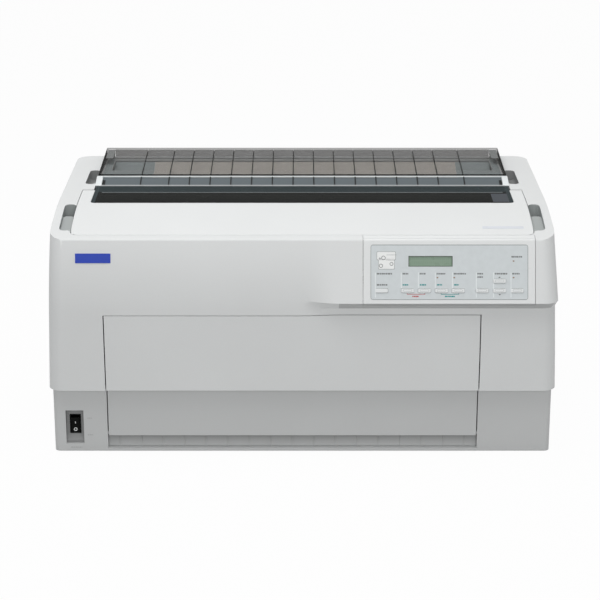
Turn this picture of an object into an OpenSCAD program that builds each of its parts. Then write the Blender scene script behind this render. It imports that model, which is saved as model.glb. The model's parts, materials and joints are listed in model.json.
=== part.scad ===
// Wide-carriage dot matrix printer with hinged covers.
// +Z is up, the front faces -Y, and +X is to the right seen from the front.
// The origin is on the floor, under the middle of the printer.

/* [Case] */
// Width of the upper shell at its lower edge
case_w = 706; // [690:1:730]
// Depth from the lip of the control panel to the back
case_d = 392; // [384:1:410]
// Height of the seam between the base and the upper shell
seam_z = 97; // [92:1:102]
// Height of the front top edge
edge_z = 312.3; // [308:0.5:322]
// Amount that each side leans in between the seam and the top edge
side_draft = 8; // [4:0.5:10]
// Thickness of the plastic walls
wall = 3; // [2.4:0.1:3.4]
// Radius of the vertical corners
corner_r = 20; // [12:1:26]
// Distance that the base is set in at each side
base_step = 4.5; // [4:0.5:12]
// Radius of the base's upright corners
base_r = 8; // [6:1:14]
// Height of the rubber feet below the base
foot_h = 1.5; // [1:0.5:3]
// Running gap round covers and doors
gap = 0.8; // [0.5:0.1:1.2]

/* [Front] */
// Lean of the control panel from upright, in degrees
panel_tilt = 18; // [15:0.5:20]
// Distance that the lip stands ahead of the front top edge
panel_reach = 27; // [24:0.5:29]
// Height of the undercut below the lip
lip_drop = 12; // [8:0.5:14]
// Where the ledge starts to grow out of the front face
blend_x = -3; // [-20:1:10]
// Width over which the ledge grows to its full depth
blend_w = 53; // [40:1:70]
// Depth of the hollow in the front face below the lip
recess_d = 5; // [2:0.5:7]
// Distance that the ledge stands out at the right side
flare_w = 2; // [1:0.5:3]
// Width of the base to the left of the front cover
column_l = 76.5; // [72:0.5:82]
// Width of the base to the right of the front cover
column_r = 104; // [92:0.5:112]
// Height of the top edge of the front cover
door_top = 207.5; // [190:0.5:209]
// Height of the lower edge of the front cover
door_bottom = 24.8; // [24.6:0.1:32]
// Width of the power switch recess
switch_w = 24.8; // [22:0.2:28]

/* [Top] */
// Slope of the top at its front edge, in degrees
front_slope = 18.5; // [16:0.5:20]
// Slope of the rear part of the top, in degrees
top_slope = 1.3; // [0.5:0.1:2]
// Radius of the bend between the two slopes
bend_r = 450; // [400:5:500]
// Width of the case's rim beside the printer cover
rim_w = 36.5; // [32:0.5:44]
// Distance from the front top edge back to the printer cover
cover_inset = 11; // [8:0.5:16]
// Distance of the smoked window from the sides of the printer cover
window_inset = 17.5; // [14:0.5:30]
// Distance that the paper lid is narrower than the printer cover, at each side
lid_inset = 17; // [16.5:0.5:28]
// Distance of the paper lid from the back
lid_margin = 7; // [6:0.5:14]

/* [Control panel] */
// Width of the control panel
panel_w = 233.6; // [228:0.1:240]
// Width of a push button
button_w = 17.4; // [14:0.2:19]
// Height of a push button's face
button_h = 5.6; // [5:0.1:7]
// Travel of a push button
button_travel = 0.8; // [0.4:0.1:1]

/* [Mechanism] */
// Radius of the platen roller
platen_r = 20.2; // [18:0.1:20.5]
// Height of the platen's axis
platen_z = 262; // [258:0.5:264]
// Radius of the main carriage shaft
shaft_r = 6; // [5:0.1:6.5]
// Radius of the second guide shaft and of the tractor rail
guide_r = 4; // [3:0.1:4.5]
// Radius of the belt pulleys
pulley_r = 12; // [11:0.1:12.5]
// Length of the carriage's travel
carriage_travel = 410; // [300:5:412]
// Teeth on the feed pinion; the platen gear has twice as many
pinion_teeth = 30; // [28:2:30]
// Side of the square tractor shaft
tractor_shaft_w = 8; // [7:0.1:8.4]
// Distance of the steel side frames from the sides of the case
frame_inset = 52; // [50:0.5:54]
// Thickness of the steel side frames
frame_t = 2; // [1.5:0.1:2.5]
// Side of the cooling fan
fan_w = 60; // [50:1:62]

/* [Hidden] */
$fn = 48;
far = 500;
eps = 0.01;
pin_gap = 0.05;
seat_gap = 0.3;

// Widths
base_w = case_w - 2 * base_step;
cover_w = case_w - 2 * rim_w;
window_w = cover_w - 2 * window_inset;
lid_w = cover_w - 2 * lid_inset;
frame_w = case_w - 2 * frame_inset;
door_l = column_l - base_w / 2;
door_r = base_w / 2 - column_r;
panel_r = cover_w / 2;
panel_l = panel_r - panel_w;

// Places along Y
y_lip = -case_d / 2;
y_back = case_d / 2;
y_edge = y_lip + panel_reach;
base_front = y_lip + 29;
base_back = y_back - 6;
cover_front = y_edge + cover_inset;
cover_back = 4;
cover_pivot = [0, 331 - 312.3 + edge_z];
window_front = -59;
window_back = 22;
bars_front = 24.5;
bars_back = 57;
lid_front = bars_back + gap;
lid_back = y_back - lid_margin;

// Shape of the case
face_r = 314;
face_z = edge_z - face_r * sin(panel_tilt);
y_face = y_edge - face_r * (1 - cos(panel_tilt));
front_draft = 4;
lip_z = edge_z - panel_reach / tan(panel_tilt);
under_z = lip_z - lip_drop;
hollow_z = seam_z + 50;
edge_r = 5;
bend_c = [y_edge + bend_r * sin(front_slope), edge_z - bend_r * cos(front_slope)];
bend_end = [bend_c[0] - bend_r * sin(top_slope), bend_c[1] + bend_r * cos(top_slope)];
top_level = 350;
loft_z = [seam_z, hollow_z, (hollow_z + under_z) / 2, under_z, lip_z - lip_drop / 3, lip_z, lip_z + 14,
    lip_z + 30, lip_z + 48, lip_z + 66, edge_z, top_level];

function mix(a, b, s) = a + (b - a) * s;
function smooth(s) = s <= 0 ? 0 : s >= 1 ? 1 : s * s * (3 - 2 * s);
function top_z(y) = y > bend_end[0]
    ? bend_end[1] + (y - bend_end[0]) * tan(top_slope)
    : bend_c[1] + sqrt(pow(bend_r, 2) - pow(y - bend_c[0], 2));
function lean_y(z) = y_edge - (edge_z - z) * tan(panel_tilt);
function left_y(z) = z <= face_z ? y_face + front_draft * (face_z - z) / (face_z - seam_z)
    : z <= edge_z ? y_face + face_r - sqrt(pow(face_r, 2) - pow(z - face_z, 2)) : lean_y(z);
function hollow(z) = recess_d * smooth((z - hollow_z) / (under_z - hollow_z));
function right_y(z) = z <= under_z ? left_y(z) + hollow(z)
    : z <= lip_z ? mix(left_y(under_z) + recess_d, y_lip, (z - under_z) / lip_drop) : lean_y(z);
function flare(z) = z <= under_z ? 0
    : z <= lip_z ? flare_w * (z - under_z) / lip_drop : flare_w * max(0, (edge_z - z) / (edge_z - lip_z));
function half_w(z) = case_w / 2 - side_draft * (z - seam_z) / (edge_z - seam_z);
function arc(c, r, a, b, n) = [for (i = [0:n]) [
    c[0] + r * cos(mix(a, b, i / n)),
    c[1] + r * sin(mix(a, b, i / n))
]];
function front_row(z, t, n) = [for (i = [0:n]) [
    blend_x + blend_w * i / n,
    mix(left_y(z), right_y(z), smooth(i / n)) + t
]];
function outline(z, t) = let (
    l = half_w(z),
    w = half_w(z) + flare(z),
    r = corner_r
) concat(
    arc([r - l, left_y(z) + r], r - t, 180, 270, 7),
    front_row(z, t, 7),
    arc([w - r, right_y(z) + r], r - t, 270, 360, 7),
    arc([w - r, y_back - r], r - t, 0, 90, 4),
    arc([r - l, y_back - r], r - t, 90, 180, 4)
);

// The case's outer form, moved inwards by t
module loft(t) {
    levels = [for (i = [0:len(loft_z) - 1]) i == 0 && t > 0 ? loft_z[0] - 1 : loft_z[i]];
    rings = [for (i = [0:len(loft_z) - 1]) outline(loft_z[i], t)];
    n = len(rings[0]);
    points = [for (i = [0:len(rings) - 1]) for (p = rings[i]) [p[0], p[1], levels[i]]];
    sides = [for (i = [0:len(rings) - 2]) for (j = [0:n - 1]) let (k = (j + 1) % n) each [
        [i * n + k, i * n + j, i * n + n + j],
        [i * n + k, i * n + n + j, i * n + n + k]
    ]];
    bottom = [for (j = [0:n - 1]) j];
    top = [for (j = [n - 1:-1:0]) (len(rings) - 1) * n + j];
    polyhedron(points = points, faces = concat([bottom, top], sides), convexity = 6);
}

// Everything below the top surface, moved down by t
module under_top(t) {
    corner = 90 - (panel_tilt + front_slope);
    reach = edge_r * tan(corner / 2);
    lean = 160;
    k = edge_r / cos(corner / 2);
    mid = (180 - panel_tilt + 90 + front_slope) / 2;
    edge_c = [y_edge - k * cos(mid), edge_z - k * sin(mid)];
    nose = [edge_c[0] + (edge_r - t) * cos(lean), edge_c[1] + (edge_r - t) * sin(lean)];
    out = 80;
    out_y = nose[0] - out * sin(180 - lean);
    bend_trim = reach / bend_r * 180 / PI;
    rear_y = y_back + 20;
    rear_z = bend_end[1] + (rear_y - bend_end[0]) * tan(top_slope) - t / cos(top_slope);
    points = concat(
        [[rear_y, 0], [rear_y, rear_z]],
        arc(bend_c, bend_r - t, 90 + top_slope, 90 + front_slope - bend_trim, 9),
        arc(edge_c, edge_r - t, 90 + front_slope, lean, 5),
        [[out_y, nose[1] - out * cos(180 - lean)], [out_y, 0]]
    );
    along_x([-far, far]) polygon(points);
}

module form(t) {
    intersection() {
        loft(t);
        under_top(t);
    }
}

module skin(outer, inner) {
    difference() {
        form(outer);
        form(inner);
    }
}

// A layer of the top surface, from outer to inner below it
module top_layer(outer, inner) {
    difference() {
        under_top(outer);
        under_top(inner);
    }
}

// Extrudes a (Y, Z) outline along X
module along_x(x) {
    translate([x[0], 0, 0]) rotate([90, 0, 90]) linear_extrude(height = x[1] - x[0]) children();
}

module block(x, y, z) {
    translate([x[0], y[0], z[0]]) cube([x[1] - x[0], y[1] - y[0], z[1] - z[0]]);
}

module rod(x, at, r) {
    translate([x[0], at[0], at[1]]) rotate([0, 90, 0]) cylinder(h = x[1] - x[0], r = r);
}

module post(at, z, r) {
    translate([at[0], at[1], z[0]]) cylinder(h = z[1] - z[0], r = r);
}

module rounded(x, y, r) {
    translate([x[0] + r, y[0]]) square([x[1] - x[0] - 2 * r, y[1] - y[0]]);
    translate([x[0], y[0] + r]) square([x[1] - x[0], y[1] - y[0] - 2 * r]);
    for (a = [x[0] + r, x[1] - r], b = [y[0] + r, y[1] - r]) translate([a, b]) circle(r);
}

// A prism with rounded upright corners
module pillar(x, y, z, r) {
    translate([0, 0, z[0]]) linear_extrude(height = z[1] - z[0]) rounded(x, y, r);
}

// Puts children on the control panel: X across, Y up the slope, Z out
module on_panel() {
    translate([0, y_edge, edge_z]) rotate([90 - panel_tilt, 0, 0]) children();
}

// ---- Case ----
base_half = base_w / 2;
door_side = 1.3;
bay = [door_l - door_side, door_r + door_side];
rear_bay_z = [108, 250];
floor_z = [foot_h, foot_h + wall];
switch_c = -base_half + 29.3;
switch_x = [switch_c - switch_w / 2, switch_c + switch_w / 2];
switch_z = [24, 62.5];
switch_deep = 8;
rocker_w = switch_w - 13;
well_w = rocker_w + 0.8;
rocker_c = [base_front + switch_deep + 3, 40];
well_h = 13;
ribs_z = [6.2, 23];
lip_bar_z = 6;
inlet_x = [48.5 - base_half, 76.5 - base_half];
inlet_z = [25, 49];
socket_z = [14, 28];
sockets_x = [[60, 100], [120, 134], [160, 192]];
socket_gap = 0.3;
board_z = [12, 13.6];
vent_y = [for (i = [0:7]) 62 + 8 * i];
vent_z = [132, 188];

module base_outline(t) {
    rounded([t - base_half, base_half - t], [base_front + t, base_back - t], base_r - t);
}

module base_shell() {
    color([0.66, 0.67, 0.66]) {
        difference() {
            translate([0, 0, foot_h]) linear_extrude(height = seam_z - foot_h) base_outline(0);
            translate([0, 0, floor_z[1]]) linear_extrude(height = seam_z) base_outline(wall);
            block(bay, [base_front - 1, base_front + wall + eps], [lip_bar_z, seam_z + 1]);
            block(switch_x, [base_front - 1, base_front + wall + 1], [switch_z[0] - 11, switch_z[1]]);
            block([inlet_x[0] - socket_gap, inlet_x[1] + socket_gap], [base_back - wall - 1, base_back + 1],
                [inlet_z[0] - socket_gap, inlet_z[1] + socket_gap]);
            for (s = sockets_x) block([s[0] - socket_gap, s[1] + socket_gap],
                [base_back - wall - 1, base_back + 1], [board_z[1] - socket_gap, socket_z[1] + socket_gap]);
            for (p = screw_points) post(p, [0, seam_z], screw_r);
            rod([bay[0] - wall - eps, bay[1] + wall + eps], door_pivot, door_pin_r + pin_gap);
        }
        for (x = [[bay[0] - wall, bay[0]], [bay[1], bay[1] + wall]]) difference() {
            block(x, [base_front + wall, base_front + 18], [floor_z[1], seam_z]);
            rod([x[0] - 1, x[1] + 1], door_pivot, door_pin_r + pin_gap);
        }
        block(bay, [base_front + wall, base_front + wall + 8], [floor_z[1], lip_bar_z]);
        switch_cup();
    }
}

// The wall of the power switch recess, with a sloping foot
module switch_cup() {
    back = base_front + switch_deep;
    difference() {
        block([switch_x[0] - wall, switch_x[1] + wall], [base_front + wall, back + wall],
            [switch_z[0] - 14, switch_z[1] + wall]);
        along_x(switch_x) polygon([[base_front, switch_z[0] - 11], [back, switch_z[0]], [back, switch_z[1]],
            [base_front, switch_z[1]]]);
        block([switch_c - housing_w / 2, switch_c + housing_w / 2], [back - 1, back + wall + 1], housing_z);
    }
}

function notch_x(side, x) = side > 0 ? x : [-x[1], -x[0]];
front_notch_x = [cover_w / 2 + gap, cover_w / 2 + 16.7];
rear_notch_x = [lid_w / 2 + 1.5, lid_w / 2 + 17.5];
cover_hole = [-cover_w / 2 - gap, cover_w / 2 + gap];
slot_hole = [-lid_w / 2 - 1.5, lid_w / 2 + 1.5];

module shell_openings() {
    pillar(cover_hole, [cover_front - gap, cover_back - 20], [edge_z - 25, far], cover_r + gap);
    block(cover_hole, [cover_front + 20, cover_back + 3], [edge_z - 25, far]);
    block(slot_hole, [cover_back, bars_back + 0.3], [edge_z, far]);
    block([-lid_w / 2 + 14, lid_w / 2 - 14], [lid_front + 54, lid_back - 11], [edge_z, far]);
    block(bay, [y_lip - 1, base_front + wall], [seam_z - 1, door_top + gap]);
    block(bay, [y_back - wall - 1, y_back + 1], rear_bay_z);
    panel_region(0.5);
    for (y = vent_y, s = [-1, 1])
        block(notch_x(s, [case_w / 2 - 20, case_w / 2 + 9]), [y - 1.5, y + 1.5], vent_z);
}

// A finger notch with rounded corners and a rounded outer side
module notch(side, x, y, z, grow) {
    r = 7 + grow;
    intersection() {
        pillar(notch_x(side, [x[0] - grow, x[1] + grow]), [y[0] - grow, y[1] + grow], [z - grow, far], r);
        translate([0, y[1] + grow + 1, 0]) rotate([90, 0, 0])
            linear_extrude(height = y[1] - y[0] + 2 * grow + 2)
                rounded(notch_x(side, [x[0] - 30, x[1] + grow]), [z - grow, far], r);
    }
}

module notches(grow) {
    for (s = [-1, 1]) {
        notch(s, front_notch_x, [-147.4, -105], top_z(-147) - 9, grow);
        notch(s, front_notch_x, [-115, -65.5], top_z(-147) - 20, grow);
        notch(s, rear_notch_x, [37, 112], top_z(37) - 14, grow);
    }
}

// Ears that carry the pins of the printer cover
module cover_ears() {
    for (s = [-1, 1]) difference() {
        block(notch_x(s, [cover_w / 2 + gap, cover_w / 2 + gap + 7]), [-12, 12],
            [cover_pivot[1] - 10, cover_pivot[1] + 3]);
        rod([-far, far], cover_pivot, cover_pin_r + pin_gap);
    }
}

// Ears behind the paper lid's side walls
module lid_ears() {
    for (s = [-1, 1]) difference() {
        union() {
            block(notch_x(s, ear_x), [lid_pivot[0] - lid_ear_r, lid_back + 3],
                [lid_pivot[1] - 20, lid_pivot[1]]);
            rod(notch_x(s, ear_x), lid_pivot, lid_ear_r);
        }
        rod([-far, far], lid_pivot, lid_pin_r + pin_gap);
    }
}

module rear_ears() {
    for (x = [[bay[0] - 8, bay[0]], [bay[1], bay[1] + 8]]) difference() {
        block(x, [y_back - wall - 10, y_back - wall], [rear_pivot[1] - 7, rear_pivot[1] + 7]);
        rod([x[0] - 1, x[1] + 1], rear_pivot, door_pin_r + pin_gap);
    }
}

module upper_shell() {
    color([0.86, 0.86, 0.85]) {
        difference() {
            union() {
                skin(0, wall);
                intersection() {
                    form(wall);
                    notches(wall);
                }
                difference() {
                    intersection() {
                        form(wall / 2);
                        block([-far, far], [-far, far], [seam_z, seam_z + wall]);
                    }
                    translate([0, 0, seam_z - 1]) linear_extrude(height = wall + 2) base_outline(wall);
                }
            }
            shell_openings();
            notches(0);
        }
        cover_ears();
        lid_ears();
        rear_ears();
        paper_deck();
    }
}

// The sloped floor that shows through the paper lid
module paper_deck() {
    half = lid_w / 2 - 13;
    y = [lid_front + 59.7, lid_back - 3];
    z = top_z(lid_back) - 1.9;
    rise = (y[1] - y[0]) * tan(24.4);
    along_x([-half, half]) polygon([[y[0], z - rise - 2.2], [y[1], z - 2.2], [y[1], z], [y[0], z - rise]]);
}

foot_places = [for (x = [58.5 - base_half, base_half - 58.5], y = [y_edge + 49, y_back - 46]) [x, y]];

module rubber_feet() {
    color([0.13, 0.13, 0.13]) for (p = foot_places) post(p, [0, foot_h], 14);
}

// ---- Covers ----
cover_pin_r = 2.2;
cover_r = 8;
cover_step = 1.5;
cover_flange = 5;
lid_pin_r = 2.5;
lid_ear_r = 4.5;
door_pin_r = 2.5;
lid_t = 2.5;
lid_lap = 1.2;
lid_rise = 9;
lid_rear_rise = 15;
lid_front_z = top_z(lid_front) + lid_rise;
lid_back_z = top_z(lid_back) + lid_rear_rise;
lid_pivot = [lid_back - 3, lid_back_z - 8.6];
lid_foot_z = top_z(lid_back) + 1.4;
ear_x = [lid_w / 2 - 11.5, lid_w / 2 - 5.5];
door_pivot = [base_front + 4, door_bottom + 3.2];
rear_pivot = [y_back - wall - 3, rear_bay_z[0] + 7];

module cover_plan(t) {
    pillar([t - cover_w / 2, cover_w / 2 - t], [cover_front + t, cover_back + 20], [0, far], cover_r);
}

module window_plan(t) {
    pillar([t - window_w / 2, window_w / 2 - t], [window_front + t, window_back + 20], [0, far], 6);
}

module printer_cover() {
    color([0.91, 0.91, 0.91]) {
        difference() {
            union() {
                intersection() {
                    top_layer(0, wall);
                    cover_plan(0);
                }
                intersection() {
                    top_layer(1, wall + cover_flange);
                    cover_plan(cover_step);
                }
            }
            intersection() {
                under_top(wall);
                cover_plan(cover_step + 2.5);
            }
            window_plan(0);
            block([-far, far], [cover_back, far], [0, far]);
        }
        for (s = [-1, 1]) {
            rod(notch_x(s, [cover_w / 2, cover_w / 2 + gap + 6]), cover_pivot, cover_pin_r);
            block(notch_x(s, [cover_w / 2 - cover_step - 2.5, cover_w / 2]), [-10, cover_back],
                [cover_pivot[1] - 6, top_z(-10) - 1]);
        }
    }
}

// The smoked window sits in the rear of the cover on a flange
module cover_window() {
    flange = 6;
    color([0.2, 0.21, 0.22, 0.7]) {
        intersection() {
            top_layer(0, wall + window_flange_t);
            window_plan(0.2);
            block([-far, far], [-far, window_back], [0, far]);
        }
        intersection() {
            top_layer(wall, wall + window_flange_t);
            window_plan(-flange);
            block([-far, far], [-far, -18], [0, far]);
        }
    }
}

lid_ribs = concat([-236, -195], [for (i = [0:12]) 30.33 * i - 165], [237]);
window_flange_t = 1.8;

module paper_lid() {
    half = lid_w / 2;
    color([0.38, 0.38, 0.38, 0.7]) {
        along_x([-half, half]) polygon([[lid_front, lid_front_z - lid_t], [lid_back, lid_back_z - lid_t],
            [lid_back, lid_back_z], [lid_front, lid_front_z]]);
        for (s = [-1, 1]) {
            along_x(notch_x(s, [half - lid_t, half])) polygon([
                [lid_front, lid_foot_z], [lid_back, lid_foot_z],
                [lid_back, lid_back_z - lid_lap], [lid_front, lid_front_z - lid_lap]]);
            rod(notch_x(s, [ear_x[0] - 1, half - lid_t]), lid_pivot, lid_pin_r);
        }
        block([1.5 - ear_x[0], ear_x[0] - 1.5], [lid_back - lid_t, lid_back],
            [lid_foot_z, lid_back_z - lid_t]);
        for (x = lid_ribs) along_x([x - 0.6, x + 0.6]) polygon([
            [lid_front + 2, lid_front_z - lid_t - 2], [lid_back - lid_lap, lid_back_z - lid_t - 2],
            [lid_back - lid_lap, lid_back_z - lid_lap], [lid_front + 2, lid_front_z - lid_lap]]);
    }
}

module front_cover() {
    step_back = base_front + wall;
    color([0.74, 0.75, 0.74]) {
        intersection() {
            skin(0, wall);
            block([door_l, door_r], [y_lip - 1, base_front], [seam_z, door_top]);
        }
        difference() {
            intersection() {
                form(wall / 2);
                block([door_l, door_r], [y_lip - 1, step_back], [seam_z, seam_z + wall]);
            }
            translate([0, 0, seam_z - 1]) linear_extrude(height = wall + 2) base_outline(wall + 1);
        }
        difference() {
            block([door_l, door_r], [base_front, step_back], [door_bottom, seam_z + wall]);
            block([door_l - 1, door_r + 1], [base_front - 1, base_front + eps], [seam_z, seam_z + wall + 1]);
        }
        for (x = [door_l, door_r - 8]) rod([x, x + 8], door_pivot, 4);
        rod([door_l - door_side - wall, door_l + 1], door_pivot, door_pin_r);
        rod([door_r - 1, door_r + door_side + wall], door_pivot, door_pin_r);
        for (i = [1:5]) {
            x = mix(door_l, door_r, i / 6);
            block([x - 1, x + 1], [step_back - eps, step_back + 6], [door_bottom + 10, seam_z + wall]);
        }
    }
}

module rear_cover() {
    inner = y_back - wall;
    color([0.82, 0.82, 0.81]) {
        block([door_l, door_r], [inner, y_back], [rear_bay_z[0] + 3, rear_bay_z[1] - gap]);
        for (x = [door_l, door_r - 8]) difference() {
            rod([x, x + 8], rear_pivot, 4.5);
            block([x - 1, x + 9], [inner, y_back + 9], [0, far]);
        }
        rod([door_l - door_side - 7, door_l + 1], rear_pivot, door_pin_r);
        rod([door_r - 1, door_r + door_side + 7], rear_pivot, door_pin_r);
        for (i = [1:5]) {
            x = mix(door_l, door_r, i / 6);
            block([x - 1, x + 1], [inner - 4, inner], [rear_bay_z[0] + 14, rear_bay_z[1] - 10]);
        }
    }
}

// ---- Paper path parts that show ----
module exit_bars() {
    reach = slot_hole[1];
    color([0.85, 0.86, 0.86]) {
        block([-reach, reach], [bars_front, bars_front + 4.5], [top_z(27) - 4, top_z(27) + 1]);
        block([-reach, reach], [bars_back - 3, bars_back], [top_z(bars_back) + 5, top_z(bars_back) + 7]);
        for (s = [-1, 1]) along_x(notch_x(s, [reach - 9, reach])) polygon([
            [bars_front, top_z(27) - 4], [bars_back, top_z(27) - 4], [bars_back, top_z(bars_back) + 7],
            [bars_back - 7, top_z(bars_back) + 7], [bars_front, top_z(27) + 1]]);
    }
}

guide_front = bars_front + 4.5;
guide_back = bars_back - 3;
guide_z = [top_z(27) - 1, top_z(bars_back) + 5];

module exit_guide() {
    half = slot_hole[1] - 9;
    color([0.42, 0.45, 0.47]) {
        along_x([-half, half]) polygon([[guide_front, guide_z[0] - 2], [guide_back, guide_z[1] - 2],
            [guide_back, guide_z[1]], [guide_front, guide_z[0]]]);
        for (x = lid_ribs) along_x([x - 0.8, x + 0.8]) polygon([
            [guide_front, guide_z[0] - 0.5], [guide_back, guide_z[1] - 0.5], [guide_back, guide_z[1] + 1.5],
            [guide_front, guide_z[0] + 1.5]]);
    }
}

entry_pitch = (door_r - door_l) / 17;

module entry_guide() {
    back = base_front + wall + 8;
    color([0.55, 0.57, 0.57]) {
        block([bay[0] + seat_gap, bay[1] - seat_gap], [back - 3, back], ribs_z);
        block([bay[0] + seat_gap, bay[1] - seat_gap], [back - 3, back + 40],
            [ribs_z[1], ribs_z[1] + 2 - eps]);
        for (i = [-8:8]) {
            x = (bay[0] + bay[1]) / 2 + i * entry_pitch;
            block([x - 0.8, x + 0.8], [back - 4.2, back - 2], ribs_z);
        }
    }
}

// ---- Control panel ----
plate_t = 3;
label = [[panel_r - 222.9, panel_r - 10.5], [-81.2, -7.8]];
label_r = 2.5;
lcd = [[panel_r - 172.3, panel_r - 112.3], [-36.8, -22.4]];
led_at = [for (p = [[29.6, -29.3], [132.9, -51.7], [110, -51.7], [29.5, -51.7]]) [panel_r - p[0], p[1]]];
led_size = [2.4, 1.9];
button_row = -69.4;
button_at = [for (x = [208.7, 173.5, 150.6, 127.5, 104.6, 72.1, 48.6, 24.6]) [panel_r - x, button_row]];
button_list = concat(button_at, [[panel_r - 48.6, -56.4]]);
button_clear = 0.3;
button_r = 1.6;
card_z = [-12, -10.4];

// The part of the case that the control panel takes up, from the lip to the printer cover
module panel_region(grow) {
    x = [panel_l - grow, panel_r + grow];
    difference() {
        block(x, [y_lip - 5, cover_front - gap], [lip_z - 3 - grow, edge_z + 9]);
        block([x[0] - 1, x[1] + 1], [lean_y(lip_z) + 8 + grow, y_edge], [0, lip_z + grow]);
    }
}

module button_prism(p, z, grow) {
    w = button_w / 2 + grow;
    h = button_h / 2 + grow;
    pillar([p[0] - w, p[0] + w], [p[1] - h, p[1] + h], z, button_r + grow);
}

module panel_holes(from, to) {
    for (p = button_list) button_prism(p, [from, to], button_clear);
    translate([lcd[0][0], lcd[1][0], from]) cube([lcd[0][1] - lcd[0][0], lcd[1][1] - lcd[1][0], to - from]);
    for (p = led_at) translate([p[0] - led_size[0] / 2, p[1] - led_size[1] / 2, from])
        cube([led_size[0], led_size[1], to - from]);
}

module panel_housing() {
    color([0.88, 0.88, 0.87]) {
        difference() {
            intersection() {
                skin(0, plate_t);
                panel_region(0);
            }
            on_panel() panel_holes(-10, 5);
        }
        on_panel() difference() {
            block([label[0][0] - 2, label[0][1] + 2], [label[1][0] + 1, label[1][1] + 1],
                [card_z[1], -plate_t + 0.2]);
            block(label[0], [label[1][0] + 3, label[1][1] - 1], [card_z[1] - 1, 0]);
        }
    }
}

module panel_overlay() {
    color([0.79, 0.81, 0.82]) on_panel() difference() {
        linear_extrude(height = 0.3) rounded(label[0], label[1], label_r);
        panel_holes(-1, 1);
    }
}

module lcd_window() {
    color([0.44, 0.59, 0.47]) on_panel() block(lcd[0], lcd[1], [-plate_t, 0.5]);
}

module indicator_leds() {
    color([0.55, 0.47, 0.42]) on_panel() for (p = led_at) block(
        [p[0] - led_size[0] / 2, p[0] + led_size[0] / 2],
        [p[1] - led_size[1] / 2, p[1] + led_size[1] / 2], [card_z[1], 0.6]);
}

module panel_board() {
    color([0.12, 0.36, 0.2]) on_panel() {
        block([label[0][0] - 2, label[0][1] + 2], [label[1][0] + 1, label[1][1] + 1], card_z);
        for (p = button_list) block([p[0] - 3, p[0] + 3], [p[1] - 2.5, p[1] + 2.5],
            [card_z[1], -8.5 - button_travel - 0.1]);
    }
}

module button(i) {
    p = button_list[i];
    color([0.83, 0.84, 0.84]) on_panel() {
        button_prism(p, [-6, 1.3], 0);
        block([p[0] - 2, p[0] + 2], [p[1] - 2, p[1] + 2], [-8.5, -6]);
    }
}

module badge_plate() {
    color([0.25, 0.32, 0.68]) intersection() {
        skin(-0.8, 0);
        block([44.4 - case_w / 2, 92.6 - case_w / 2], [y_lip, y_edge + 10], [281.3, 294.1]);
    }
}

// ---- Power switch and inlet ----
housing_w = well_w + 3.2;
housing_z = [rocker_c[1] - well_h - 1.2, rocker_c[1] + well_h + 1.2];

module switch_housing() {
    back = base_front + switch_deep;
    color([0.12, 0.12, 0.12]) difference() {
        block([switch_c - housing_w / 2, switch_c + housing_w / 2], [back - 1.2, back + 22], housing_z);
        block([switch_c - well_w / 2, switch_c + well_w / 2], [back - 2, back + 18],
            [rocker_c[1] - well_h, rocker_c[1] + well_h]);
        rod([switch_c - well_w / 2 - 1.2, switch_c + well_w / 2 + 1.2], rocker_c, 1.5 + pin_gap);
    }
}

rocker_tip = 8;

module power_rocker() {
    half = well_h - 1.6;
    color([0.1, 0.1, 0.1]) {
        along_x([switch_c - rocker_w / 2, switch_c + rocker_w / 2]) translate(rocker_c) rotate(rocker_tip)
            polygon([[-6.5, half], [-3.2, 0], [-6.5, -half], [3, -half + 3], [3, half - 3]]);
        rod([switch_c - rocker_w / 2 - 1.4, switch_c + rocker_w / 2 + 1.4], rocker_c, 1.5);
    }
}

module ac_inlet() {
    color([0.1, 0.1, 0.1]) difference() {
        block(inlet_x, [base_back - 22, base_back], inlet_z);
        block([inlet_x[0] + 2.5, inlet_x[1] - 2.5], [base_back - 16, base_back + 1],
            [inlet_z[0] + 3, inlet_z[1] - 3]);
    }
    color([0.7, 0.7, 0.7]) for (x = [-7, 0, 7]) {
        c = (inlet_x[0] + inlet_x[1]) / 2 + x;
        block([c - 1, c + 1], [base_back - 16 - eps, base_back - 4], [35, 39]);
    }
}

// ---- Chassis and electronics ----
frame_out = frame_w / 2;
frame_in = frame_out - frame_t;
plate_z = [floor_z[1], floor_z[1] + frame_t];
main_shaft = [-62, platen_z - 26];
guide_shaft = [y_edge + 27, platen_z - 26];
rail = [y_edge + 41, 112];
belt_y = y_edge + 57;
belt_z = [platen_z - 31, platen_z - 23];
pulley_x = frame_in - 17;
bracket_z = [belt_z[0] - 5, belt_z[0] - 3];
bail_pivot = [40, platen_z + 18];
tractor_at = [y_edge + 64, 130];
motor_r = 20;
gear_m = 1;
pinion_r = pinion_teeth * gear_m / 2;
gear_r = pinion_r * 2;
pinion_angle = -30;
pinion_at = [(pinion_r + gear_r) * cos(pinion_angle), platen_z + (pinion_r + gear_r) * sin(pinion_angle)];
bearing_r = 10;
platen_shaft_r = 6;
motor_shaft_r = 3;
cartridge_z = [platen_z, platen_z + 22];
fan_c = [90, 160];
screw_points = [for (x = [-240, 0, 240], y = [y_edge + 69, y_back - 38]) [x, y]];
chassis_y = [y_edge + 21, y_back - 31];
screw_r = 2;

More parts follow.
